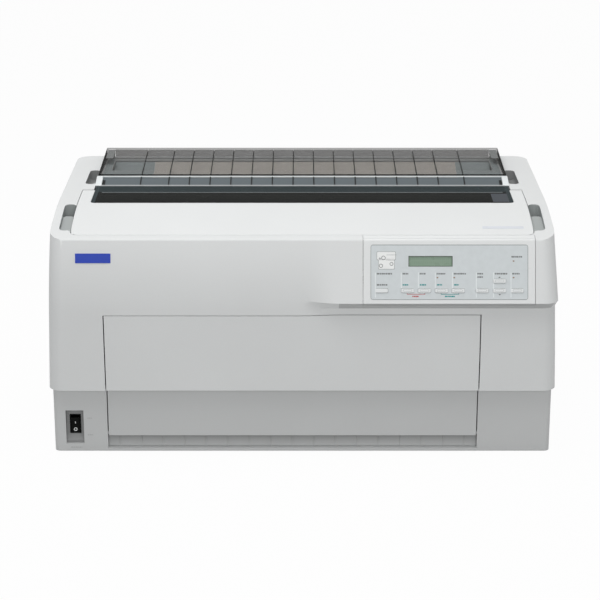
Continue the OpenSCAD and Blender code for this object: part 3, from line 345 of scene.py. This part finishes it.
# After the colour of a moulded finish come its roughness, grain, depth and mottle
FINISHES = {
    "shell": moulded("shell_plastic", SHELL),
    "cover": moulded("cover_plastic", scaled(SHELL, 1.04)),
    "base": moulded("base_plastic", scaled(SHELL, 0.80)),
    # Painted shade: a darker copy of the shell's colour for the shade inside recesses
    "recess": moulded("recess_plastic", scaled(SHELL, 0.38)),
    # Painted shade: a darker colour for the shade inside the finger notches
    "notch": moulded("notch_plastic", (0.37, 0.395, 0.39)),
    # Painted shade: a darker colour for the shade on the notches' scooped floors
    "scoop_shade": moulded("scoop_painted_shade", (0.33, 0.35, 0.345)),
    # Painted shade: a darker copy of the shell's colour for faces in shade under ledges
    "relief_shade": moulded("relief_painted_shade", scaled(SHELL, 0.66)),
    "panel": moulded("panel_plastic", scaled(SHELL, 1.06), mottle=0.015),
    "button": moulded("button_plastic", (0.70, 0.72, 0.72), 0.4, 2200, 0.000008, 0.015),
    "bar": moulded("bar_plastic", (0.72, 0.745, 0.75), 0.35, 1800, 0.00001, 0.02),
    "guide": moulded("guide_plastic", (0.085, 0.105, 0.115), 0.38, gloss=0.3),
    # Painted shadow: the entry guide darkens upwards, as in the shade under the door's lip
    "entry": moulded("entry_plastic", scaled(SHELL, 0.84), painted_shadow=(8, 24, 0.45)),
    "black": moulded("black_plastic", (0.010, 0.0105, 0.011), 0.45, 1300, mottle=0.1, gloss=0.2),
    "switch": moulded("switch_plastic", (0.006, 0.0065, 0.006), 0.5, 1300, mottle=0.1,
                      gloss=0.04),
    "dark": moulded("dark_plastic", (0.035, 0.036, 0.038), 0.45, 1300, mottle=0.08),
    "acetal": moulded("natural_acetal", (0.70, 0.66, 0.56), 0.4, 900, 0.00001),
    "knob": moulded("knob_plastic", (0.04, 0.22, 0.36), 0.4),
    "tray": moulded("tray_plastic", (0.62, 0.58, 0.53)),
    "bay": moulded("bay_plastic", (0.38, 0.43, 0.435)),
    # Dark grey; on the strip across the back of the lid's floor it is painted shade
    "deck": moulded("dark_grey_and_painted_shade", (0.21, 0.22, 0.218)),
    # Painted shade: dark grey for the exit bar's front face
    "bar_front_shade": moulded("bar_front_painted_shade", (0.16, 0.175, 0.18), 0.4),
    "window": smoked("window_smoke", (0.011, 0.012, 0.011), alpha=0.9, roughness=0.2,
                     gloss=0.004, patches=WINDOW_VIEW),
    "lid": smoked("lid_smoke", LID_TONE, alpha=0.23, roughness=0.15, gloss=0.05),
    "lid_wall": smoked("lid_wall_smoke", LID_TONE, alpha=0.5, roughness=0.15, gloss=0.05),
    "rib": moulded("lid_rib_plastic", (0.010, 0.011, 0.011), 0.45, gloss=0.1),
    "steel": metal("ground_steel", (0.60, 0.61, 0.63), 0.28, stretch=(0.02, 1, 1)),
    "tin": metal("tinned_steel", (0.62, 0.63, 0.64), 0.34, stretch=(1, 0.1, 1), scale=500),
    "zinc": zinc("zinc_plate"),
    "rubber": rubber("platen_rubber", (0.028, 0.028, 0.03)),
    "belt": rubber("belt_rubber", (0.02, 0.02, 0.02), ribs=190),
    "board": circuit("circuit_board"),
    "film": printed("overlay_film", (0.565, 0.60, 0.61), 0.5),
    "strip": printed("name_strip", (0.61, 0.63, 0.67), 0.5),
    "display": display("display_green"),
    "bezel": moulded("display_bezel", (0.045, 0.07, 0.045), 0.4),
    "badge": printed("badge_blue", (0.036, 0.070, 0.42), 0.45, gloss=0.15),
    "white_ink": printed("white_ink", (0.78, 0.79, 0.78)),
    "pale_ink": printed("pale_ink", (0.70, 0.735, 0.74)),
    "grey_ink": printed("grey_ink", (0.17, 0.18, 0.18)),
    "line_ink": printed("line_ink", (0.30, 0.32, 0.32)),
    "black_ink": printed("black_ink", (0.02, 0.02, 0.02)),
    "red_ink": printed("red_ink", (0.42, 0.10, 0.10)),
    "teal_ink": printed("teal_ink", (0.035, 0.25, 0.25)),
    "lamp": lens("lamp_lens", (0.24, 0.155, 0.095)),
    "ribbon": weave("inked_ribbon", (0.008, 0.008, 0.010)),
    "can": printed("capacitor_sleeve", (0.03, 0.045, 0.16), 0.35),
    "ferrite": moulded("transformer_core", (0.06, 0.055, 0.05)),
}


# ---- Modelling ----
SHARP = math.radians(32)            # edges above this are bevelled and kept sharp
FLAT = math.radians(0.4)            # faces closer than this are made one
WELD, TINY = 4e-6, 1e-7             # in metres
# Nodes whose wide faces have holes, so their triangles stay as they are
UNMERGED = ("upper_shell", "base_shell", "panel_housing", "printer_cover", "rear_cover",
            "feed_motor", "print_head", "paper_guide", "main_board", "power_supply", "fan_frame",
            "left_tractor", "right_tractor", "ac_inlet")


def around(middle, size):
    """A span of this size."""
    return middle - size / 2, middle + size / 2


def pick(piece):
    """Leaves only this piece selected and active."""
    bpy.ops.object.select_all(action="DESELECT")
    piece.select_set(True)
    bpy.context.view_layer.objects.active = piece


def edit(piece, step):
    """Runs an edit-mode step on the whole piece."""
    pick(piece)
    bpy.ops.object.mode_set(mode="EDIT")
    bpy.ops.mesh.select_all(action="SELECT")
    step()
    bpy.ops.object.mode_set(mode="OBJECT")


def round_edges(piece, width, segments=2, clamp=False):
    """Bevels the sharp edges and smooths the rest; width is in millimetres."""
    pick(piece)
    if width:
        bevel = piece.modifiers.new("edges", "BEVEL")
        bevel.width = width * MM
        bevel.segments = segments
        bevel.limit_method = "ANGLE"
        bevel.angle_limit = SHARP
        bevel.use_clamp_overlap = clamp
        bevel.miter_outer = "MITER_ARC"
        bpy.ops.object.modifier_apply(modifier=bevel.name)
    bpy.ops.object.shade_smooth_by_angle(angle=SHARP)
    weigh = piece.modifiers.new("weigh", "WEIGHTED_NORMAL")
    weigh.keep_sharp = True
    bpy.ops.object.modifier_apply(modifier=weigh.name)


def paint(piece, finish, where=None):
    """Gives this finish to the whole piece, or to the faces whose middle passes a test."""
    material = FINISHES[finish]
    if where is None:
        piece.data.materials.clear()
        piece.data.materials.append(material)
        return
    piece.data.materials.append(material)
    slot = len(piece.data.materials) - 1
    for face in piece.data.polygons:
        if where(face.center / MM):
            face.material_index = slot


def dress(node, finish, width=0.4, extra=(), segments=2):
    """A copy of a CAD node with welded faces, rounded edges and its finish, in its place."""
    source = nodes[node]
    piece = bpy.data.objects.new(node + "_piece", source.data.copy())
    bpy.context.scene.collection.objects.link(piece)
    edit(piece, lambda: bpy.ops.mesh.remove_doubles(threshold=WELD))
    if node not in UNMERGED:
        edit(piece, lambda: bpy.ops.mesh.dissolve_limited(angle_limit=FLAT))
    paint(piece, finish)
    for name, where in extra:
        paint(piece, name, where)
    # Unclamped, the bevel would spike at the upper shell's notches
    round_edges(piece, width, segments, clamp=node == "upper_shell")
    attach(piece, source["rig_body"])
    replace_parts(piece, node)
    return piece


def lying(y, z, degrees, x=0):
    """A place on a surface that rises to the back by these degrees."""
    return Matrix.Translation(Vector((x, y, z)) * MM) @ Matrix.Rotation(
        math.radians(degrees), 4, "X")


def settle(piece, matrix=Matrix.Identity(4)):
    """Puts a piece at its place and leaves its object at the origin."""
    piece.data.transform(matrix @ piece.matrix_world)
    piece.matrix_world = Matrix.Identity(4)
    return piece


def complete(piece, finish, soften, matrix):
    """Softens the edges, gives the finish and puts the piece at its place."""
    round_edges(piece, soften)
    paint(piece, finish)
    bpy.context.view_layer.update()
    return settle(piece, matrix)


def hollow(piece, band):
    """Opens a flat piece so that a ring of this breadth is left, in millimetres."""
    pick(piece)
    bpy.ops.object.mode_set(mode="EDIT")
    bpy.ops.mesh.select_all(action="DESELECT")
    bpy.ops.object.mode_set(mode="OBJECT")
    for face in piece.data.polygons:
        face.select = abs(face.normal.z) > 0.9
    bpy.ops.object.mode_set(mode="EDIT")
    bpy.ops.mesh.select_mode(type="FACE")
    bpy.ops.mesh.inset(thickness=band * MM)
    bpy.ops.mesh.bridge_edge_loops()
    bpy.ops.object.mode_set(mode="OBJECT")


def slab(name, x, y, z, finish, corner=0.0, soften=0.0, matrix=Matrix.Identity(4), band=0.0):
    """A plate, or a ring of this band, with rounded upright corners; all in millimetres."""
    middle = Vector([(span[0] + span[1]) / 2 for span in (x, y, z)]) * MM
    bpy.ops.mesh.primitive_cube_add(size=1, location=middle)
    piece = bpy.context.object
    piece.name = piece.data.name = name
    piece.scale = [(span[1] - span[0]) * MM for span in (x, y, z)]
    bpy.ops.object.transform_apply(location=False, rotation=False, scale=True)
    if corner:
        upright = piece.modifiers.new("corners", "BEVEL")
        upright.width = corner * MM
        upright.segments = 4
        upright.limit_method = "WEIGHT"
        weights = piece.data.attributes.new("bevel_weight_edge", "FLOAT", "EDGE")
        for edge in piece.data.edges:
            low, high = (piece.data.vertices[i].co for i in edge.vertices)
            weights.data[edge.index].value = float((low - high).xy.length < TINY)
        bpy.ops.object.modifier_apply(modifier=upright.name)
    if band:
        hollow(piece, band)
    return complete(piece, finish, soften, matrix)


def disc(name, at, radius, z, finish, hole=0.0, matrix=Matrix.Identity(4), sides=32):
    """A disc or ring that stands on Z; sizes are in millimetres."""
    bpy.ops.mesh.primitive_cylinder_add(
        vertices=sides, radius=radius * MM, depth=(z[1] - z[0]) * MM,
        location=(at[0] * MM, at[1] * MM, (z[0] + z[1]) / 2 * MM))
    piece = bpy.context.object
    piece.name = piece.data.name = name
    if hole:
        hollow(piece, radius - hole)
    return complete(piece, finish, 0.0, matrix)


def join(name, pieces, body):
    """Makes one piece of several, riding on a body."""
    pick(pieces[0])
    for other in pieces[1:]:
        other.select_set(True)
    if len(pieces) > 1:
        bpy.ops.object.join()
    whole = bpy.context.object
    whole.name = whole.data.name = name
    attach(whole, body)
    return whole


# ---- Tests for the faces that have a finish of their own; points are in millimetres ----
def within(x=(-FAR, FAR), y=(-FAR, FAR), z=(-FAR, FAR), both=False):
    """A test for the inside of a box, or with both also of its twin across the middle."""
    def test(p):
        spans = ((abs(p.x) if both else p.x, x), (p.y, y), (p.z, z))
        return all(low < value < high for value, (low, high) in spans)
    return test


def from_axis(p, axis):
    """How far a point is from an axis along X."""
    return math.hypot(p.y - axis[0], p.z - axis[1])


def switch_hole(p):
    """The hole round the power switch, without the wall under it."""
    aside = abs(p.x - SWITCH[0])
    if aside < 3 and p.z < 24:
        return False
    return aside < 12.6 and -166.7 < p.y < -158.5 and 14 < p.z < 62.6


def on_rib(p):
    return min(abs(p.x - x) for x in LID_RIBS) < 0.9


def lid_rim(p):
    return on_rib(p) or abs(p.x) > LID_HALF - 2.6 or p.y < LID_Y[0] + 0.4


def inlet_pin(p):
    aside = p.x - INLET_X
    off_pin = (aside + PIN_PITCH / 2) % PIN_PITCH - PIN_PITCH / 2
    return abs(p.z - INLET_Z) < 2.2 and 172 < p.y < 187 and abs(off_pin) < 1.2 and abs(aside) < 9


def bail_roller(p):
    return from_axis(p, BAIL_AXIS) > 3.6 and min(abs(p.x - x) for x in BAIL_ROLLERS) < 10.2


# ---- Case and covers ----
dress("upper_shell", "shell", 0.35, [
    # Painted shade inside the finger notches
    ("notch", within((317, 334), (-148, -65), (290, 333), both=True)),
    # Painted shade on the walls of the slots behind the notches
    ("recess", within((302, 318), (36, 113), (315, 336.6), both=True)),
    ("deck", within((285, 298), (176, FAR), (341, FAR), both=True)),
    # Painted shade on the slope under the panel's lip
    ("relief_shade", within((50, FAR), (-FAR, -180), (217, RELIEF_TOP)))])
# Painted shade inside the hole round the power switch
dress("base_shell", "base", 0.4, [("recess", switch_hole)])
dress("front_cover", "base", 0.7, [("shell", within(z=(SEAM_Z, FAR)))])
dress("rear_cover", "base", 0.7)
dress("printer_cover", "cover", 0.5)
dress("cover_window", "window", 0.5)
dress("paper_lid", "lid", 0.5, [
    ("rib", lid_rim), ("lid_wall", within(y=(LID_Y[1] - 2.7, FAR)))])
# Painted shade on the exit bars' front faces, darkest on the foremost
dress("exit_bars", "bar", 0.7, [
    ("relief_shade", within((-100, 100), (-FAR, 29.1))),
    ("bar_front_shade", within((-100, 100), (-FAR, 25)))], 3)
dress("exit_guide", "guide", 0.3, [("rib", on_rib)])
dress("entry_guide", "entry", 0.3)
dress("rubber_feet", "rubber", 0.4)
dress("badge_plate", "badge", 0.25)
# Painted shade on the housing below the panel's lip
dress("panel_housing", "panel", 0.4, [("relief_shade", within(z=(-FAR, RELIEF_TOP)))])
dress("panel_overlay", "film", 0.0)
dress("switch_housing", "switch", 0.5)
dress("power_rocker", "switch", 0.35, segments=3)
dress("ac_inlet", "black", 0.4, [("steel", inlet_pin)])

# What shows through the paper lid: the flat floor at its front, and a rim round the slope
FLOOR = lying(85, 338.18, 1.3)
FLOOR_Z = (-0.2, 0.5)
bed = [slab("plate", x, (-25, 26), FLOOR_Z, finish, 0.5, 0.2, FLOOR) for x, finish in (
    ((-221, 230), "tray"), ((-296, -221.5), "bay"), ((230.5, 296), "bay"))]
# The dark grey strip across the back is painted shade over the shell; the side plates are the bays
bed += [slab("plate", x, s, FLOOR_Z, finish, 1.0, 0.2, FLOOR) for x, s, finish in (
    ((-296, 296), (93.5, 101), "deck"), ((-296, -286), (26, 93), "bay"),
    ((286, 296), (26, 93), "bay"))]
join("lid_bed", bed, ROOT)

NOTCH_FLOOR = lying(-147, 313.5, 12.2)
# Plates on the notches' floors, in a darker colour that is painted shade
join("notch_scoops", [
    slab("scoop_shade", x, (0.3, 53), (-3, 0), "scoop_shade", 5.0, 0.4, NOTCH_FLOOR)
    for x in ((-333, -317.6), (317.6, 333))], ROOT)

# Plates and ribs on the sloped floor behind it
SLOPE = lying(178.3, 335.8, 24.4)
deck = [slab("deck", x, (-68, 0), (-1.6, 0), finish, 1.0, 0.3, SLOPE) for x, finish in (
    ((-225, 234), "tray"), ((-287, -225.5), "bay"), ((234.5, 287), "bay"))]
deck += [slab("rib", (x - 0.7, x + 0.7), (-66, -3), (-0.1, 0.9), "tray", 0.3, 0.2, SLOPE)
         for x in range(-162, 163, 54)]
join("rear_deck", deck, ROOT)

UNDER_LID = lying(LID_Y[1], LID_BACK_Z, LID_SLOPE)
join("lid_corners", [
    slab("corner", x, (-46, -3.2), (-LID_THICK - 0.5, -LID_THICK + 0.1), "deck", 0.5, 0.1,
         UNDER_LID)
    for x in ((-297, -286), (286, 297))], nodes["paper_lid"]["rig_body"])

ON_GUIDE = lying(29, 335.87, 14.96)
join("guide_ends", [
    slab("end", x, (4, 17), (-0.5, 0.6), "rib", 0.5, 0.2, ON_GUIDE)
    for x in ((-291.9, -287.6), (287.6, 291.9))], ROOT)

ON_COVER = lying(-139.6, 321.03, 14.6)
join("name_strip", [slab("strip", (247, 303.6), (-3.4, 3.2), (-0.1, 0.12), "strip", 1.2, 0.0,
                         ON_COVER)], nodes["printer_cover"]["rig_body"])

# ---- Mechanism ----
dress("chassis", "zinc", 0.2)
dress("fasteners", "steel", 0.3)
dress("platen_bearings", "acetal", 0.3)
dress("guide_shafts", "steel", 0.4)
dress("carriage_motor", "dark", 0.6)
dress("feed_motor", "dark", 0.3)
dress("drive_belt", "belt", 0.1)
dress("feed_belt", "belt", 0.1)
dress("paper_guide", "guide", 0.4)
dress("platen_roller", "rubber", 0.6, [("steel", within((285.9, FAR), both=True))])
dress("platen_gear", "acetal", 0.15)
dress("feed_pinion", "acetal", 0.15, [("steel", lambda p: from_axis(p, PINION_AXIS) < 3.2)])
dress("print_carriage", "dark", 0.5)
dress("print_head", "dark", 0.3, [
    ("steel", within((HEAD_X - 6.3, HEAD_X + 6.3), (-38.1, FAR)))])
dress("ribbon_cartridge", "black", 0.8)
dress("ribbon", "ribbon", 0.0)
dress("ribbon_knob", "knob", 0.4)
dress("drive_pulley", "acetal", 0.2, [("steel", within(z=(-FAR, 229.5)))])
dress("idler_pulley", "acetal", 0.2)
dress("tractor_shaft", "steel", 0.1, [("acetal", within((-FAR, -312)))])
for side in ("left", "right"):
    dress(side + "_tractor", "dark", 0.5)
    dress(side + "_sprocket", "acetal", 0.15)
    dress(side + "_tractor_cover", "guide", 0.12)
dress("paper_bail", "steel", 0.3, [("rubber", bail_roller)])
dress("fan_frame", "black", 0.4)
dress("fan_rotor", "dark", 0.2)
dress("panel_board", "board", 0.1)
dress("main_board", "board", 0.2, [
    ("black", within(y=(-FAR, 110), z=(BOARD_TOP, 18.5))), ("tin", within(y=(165, FAR)))])
dress("power_supply", "board", 0.3, [
    ("ferrite", within((-FAR, -210), z=(BOARD_TOP, FAR))),
    ("tin", within((-196, -119), z=(BOARD_TOP, FAR))),
    ("can", within((-110, FAR), z=(BOARD_TOP, FAR))), ("tin", within(z=(-FAR, 12)))])

# ---- Control panel; places on it are X and S, and Z points out of it ----
ON_PANEL = lying(EDGE_Y, EDGE_Z, 90 - PANEL_TILT)
CAP_TOP = 1.3

for number, (x, s) in enumerate(BUTTONS, 1):
    name = f"button_{number}"
    cap = slab("cap", around(x, BUTTON_W), around(s, BUTTON_H), (-6, CAP_TOP), "button", 1.6,
               0.3, ON_PANEL)
    rib = slab("rib", around(x, 11.5), around(s, 3), (CAP_TOP - 0.1, CAP_TOP + 0.08),
               "line_ink", 0.7, 0.0, ON_PANEL, 0.3)
    stem = slab("stem", around(x, 4), around(s, 4), (-8.5, -5.9), "button", 0.4, 0.1, ON_PANEL)
    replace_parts(join(name + "_key", [cap, rib, stem], name), name)

glass = slab("glass", (LCD_X[0] + LCD_RIM, LCD_X[1] - LCD_RIM),
             (LCD_S[0] + 0.6, LCD_S[1] - LCD_RIM), (-2.6, -0.6), "display", 0.3, 0.1, ON_PANEL)
backing = slab("backing", LCD_X, LCD_S, (-3, -1.5), "bezel", 0.2, 0.1, ON_PANEL)
rims = [slab("rim", x, s, (-2, 0.45), "bezel", 0.1, 0.12, ON_PANEL) for x, s in (
    ((LCD_X[0], LCD_X[0] + LCD_RIM), LCD_S), ((LCD_X[1] - LCD_RIM, LCD_X[1]), LCD_S),
    (LCD_X, (LCD_S[1] - LCD_RIM, LCD_S[1])), (LCD_X, (LCD_S[0], LCD_S[0] + 0.5)))]
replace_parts(join("lcd_module", [glass, backing, *rims], ROOT), "lcd_window")

lamps = [slab("lamp", around(x, 2.3), around(s, 1.8), (-10.4, 0.6), "lamp", 0.4, 0.2, ON_PANEL)
         for x, s in LAMPS]
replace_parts(join("lamp_set", lamps, ROOT), "indicator_leds")

# ---- Print on the panel ----
PRINT = (FILM - 0.02, FILM + 0.05)          # heights of its lower and upper face
BARS, BAR_GAP = (3.1, 1.7, 2.4, 3.6, 2.0), 0.45
marks = []


def mark(x0, x1, s0, s1, finish, corner=0.0, place=ON_PANEL):
    return slab("mark", (x0, x1), (s0, s1), PRINT, finish, corner, 0.0, place)


def words(x0, x1, s, finish="grey_ink", height=2.1, place=ON_PANEL):
    """A caption drawn as a line of plain bars."""
    x, turn, bars = x0, int(x0 * 7), []
    while x < x1 - 0.5:
        end = min(x1, x + BARS[turn % len(BARS)])
        bars.append(mark(x, end, s - height / 2, s + height / 2, finish, 0.4, place))
        x, turn = end + BAR_GAP, turn + 1
    return bars


# Pale lines between the buttons, and the captions in rows
LONG, SHORT, LINE_TOP = -78.7, -66.0, -44.7
for x, foot in ((99.4, LONG), (134.5, SHORT), (157.8, SHORT), (180.7, SHORT), (204.1, SHORT),
                (236.4, LONG), (259.8, LONG), (283.5, LONG)):
    marks.append(mark(x - 0.6, x + 0.6, foot, LINE_TOP, "pale_ink", 0.2))
UPPER_ROW, LOWER_ROW, FOOT_ROW = -46.5, -61.6, -77.3
for x0, x1, s in (
        (101.2, 121.9, UPPER_ROW), (136.2, 144.0, UPPER_ROW), (159.4, 168.2, UPPER_ROW),
        (182.4, 194.4, UPPER_ROW), (205.8, 222.4, UPPER_ROW), (237.8, 246.4, UPPER_ROW),
        (237.8, 245.3, -51.0), (261.4, 278.5, UPPER_ROW), (285.0, 295.2, UPPER_ROW),
        (284.0, 299.5, -23.5), (101.2, 115.7, LOWER_ROW)):
    marks += words(x0, x1, s)
for x0, x1 in ((136.3, 144.8), (159.6, 168.2), (182.9, 190.0), (206.2, 213.1)):
    marks += words(x0, x1, LOWER_ROW, "teal_ink", 2.0)
marks += words(149.5, 159.0, FOOT_ROW, "red_ink", 2.0)
marks += words(193.7, 207.4, FOOT_ROW, "teal_ink", 2.0)

# Brackets under two pairs of buttons, and the outline of the film, with a darker line of painted
# shade along its top
for x0, x1, ink in ((142.2, 166.9, "red_ink"), (188.3, 212.9, "teal_ink")):
    marks += [mark(x0, x1, -74.8, -74.0, ink), mark(x0, x0 + 0.8, -74.2, -73.0, ink),
              mark(x1 - 0.8, x1, -74.2, -73.0, ink)]
marks.append(slab("outline", (LABEL_X[0] - 0.8, LABEL_X[1] + 0.8),
                  (LABEL_S[0] - 0.8, LABEL_S[1] + 0.8), (-FILM, 0.12), "line_ink", 3.3, 0.0,
                  ON_PANEL, 0.85))
# Painted shade: a darker line along the film's top edge
marks.append(slab("outline", (LABEL_X[0] + 2, LABEL_X[1] - 2), (LABEL_S[1], LABEL_S[1] + 0.6),
                  (-0.2, 0.2), "grey_ink", 0.0, 0.0, ON_PANEL))


def arrow(x, s, up):
    """A small printed triangle."""
    piece = disc("arrow", (x, s), 1.5, PRINT, "black_ink", sides=3)
    turn = Matrix.Rotation(0 if up else math.pi, 4, "Z") @ Matrix.Diagonal((1.2, 0.65, 1, 1))
    centre = Matrix.Translation(Vector((x, s, 0)) * MM)
    marks.append(settle(piece, ON_PANEL @ centre @ turn @ centre.inverted()))


arrow(267.9, -51.4, True)
arrow(268.2, -74.9, False)

# A plain diagram of a printer's paper path: outlined boxes, lines and rollers
ICON, ICON_TOP = PRINT[0], PRINT[1] + 0.04
for x, s, finish, lift, corner in (
        ((101.0, 127.0), (-28.0, -16.2), "line_ink", 0.0, 1.4),
        ((103.2, 125.6), (-40.6, -26.0), "line_ink", 0.0, 1.4),
        ((101.6, 126.4), (-27.4, -16.8), "white_ink", 0.03, 1.4),
        ((103.8, 125.0), (-40.0, -26.6), "white_ink", 0.03, 1.4),
        ((114.5, 128.2), (-21.2, -20.7), "line_ink", 0.05, 0.1),
        ((113.5, 126.0), (-28.3, -27.8), "line_ink", 0.05, 0.1)):
    marks.append(slab("mark", x, s, (ICON, ICON_TOP + lift), finish, corner, 0.0, ON_PANEL))
for at, radius in (((110.3, -25.0), 2.9), ((106.9, -35.7), 2.7), ((121.2, -33.2), 2.5),
                   ((105.3, -25.8), 1.2)):
    marks.append(disc("mark", at, radius, (ICON, ICON_TOP + 0.07), "grey_ink", radius - 0.8,
                      ON_PANEL))
join("panel_marks", marks, ROOT)

# ---- Power switch marks ----
ROCKER = lying(SWITCH[1], SWITCH[2], ROCKER_TIP, SWITCH[0]) @ Matrix.Rotation(math.pi / 2, 4, "X")
INK = (-0.1, 0.1)
lean = math.degrees(math.atan2(3.3, 11.4))          # of each half from their common plane
bar = slab("stroke", (-0.5, 0.5), (-2.1, 2.1), INK, "white_ink", 0.2, 0.0,
           ROCKER @ lying(2.6, 3.99, lean))
ring = disc("ring", (0, 0), 2.5, INK, "white_ink", 1.6, ROCKER @ lying(-7.6, 5.44, -lean))
join("rocker_marks", [bar, ring], "power_rocker")

ON_BASE = lying(FRONT_Y, 0, 90)
captions = []
# The captions take the darker colour of the painted shade
for x0, x1, z in ((-301.4, -295, 51), (-301.6, -293.5, 26), (-326, -310, 7.2)):
    captions += words(x0, x1, z, "relief_shade", 2.0, ON_BASE)
join("switch_captions", captions, ROOT)

# ---- Stage, light and camera ----
floor_finish = Finish("floor_white")
tone = floor_finish.blend(floor_finish.noise(3, 2), (0.60, 0.60, 0.60), (0.62, 0.62, 0.62))
lit = floor_finish.surface({"Base Color": tone, "Roughness": 0.9, "Specular IOR Level": 0.1})
# The camera and reflections see the floor nearly white, with a little of its shadows
rays = floor_finish.ray("Camera") + floor_finish.ray("Glossy") + floor_finish.ray("Transmission")
seen = floor_finish.node("ShaderNodeMath", {"operation": "MINIMUM"}, {0: rays, 1: 1.0})
glow = floor_finish.node("ShaderNodeEmission", values={"Color": (1, 1, 1, 1), "Strength": 1.0})
bpy.ops.mesh.primitive_grid_add(x_subdivisions=8, y_subdivisions=8, size=40)
floor = bpy.context.object
floor.name = "floor"
floor.data.materials.append(floor_finish.show(floor_finish.node("ShaderNodeMixShader", values={
    0: seen * 0.97, 1: lit, 2: glow})))

world = bpy.data.worlds.new("studio")
bpy.context.scene.world = world
world.use_nodes = True
sky = Shader(world.node_tree)
seen = sky.node("ShaderNodeMath", {"operation": "MAXIMUM"}, {
    0: sky.ray("Camera"), 1: sky.ray("Glossy")})
light, backdrop = (
    sky.node("ShaderNodeBackground", values={"Color": colour, "Strength": strength})
    for colour, strength in (((0.98, 0.99, 1.0, 1), 0.40), ((1, 1, 1, 1), 1.0)))
sky.node("ShaderNodeOutputWorld", values={
    "Surface": sky.node("ShaderNodeMixShader", values={0: seen, 1: light, 2: backdrop})})


def soft_box(name, at, aim, size, power):
    """A rectangular area light."""
    data = bpy.data.lights.new(name, "AREA")
    data.shape = "RECTANGLE"
    data.size, data.size_y = size
    data.energy = power
    lamp = bpy.data.objects.new(name, data)
    bpy.context.scene.collection.objects.link(lamp)
    lamp.location = at
    lamp.rotation_euler = (Vector(aim) - Vector(at)).to_track_quat("-Z", "Y").to_euler()


soft_box("overhead", (-0.3, -0.5, 2.6), (0, 0, 0.2), (2.6, 1.8), 46)
soft_box("front", (0.4, -3.6, 1.5), (0, 0, 0.2), (2.4, 1.4), 28.5)

FOCAL, SHIFT, PICTURE = 1840, -2.2, 600         # in pixels of the picture
camera_data = bpy.data.cameras.new("camera")
camera_data.sensor_width = 36
camera_data.lens = FOCAL / PICTURE * 36
camera_data.shift_x = SHIFT / PICTURE
camera_data.clip_end = 100
camera = bpy.data.objects.new("camera", camera_data)
bpy.context.scene.collection.objects.link(camera)
camera.location = (0, -2.57041, 1.00619)
camera.rotation_euler = (math.radians(72), 0, 0)
bpy.context.scene.camera = camera
bpy.context.scene.view_settings.view_transform = "Standard"

bpy.context.view_layer.update()
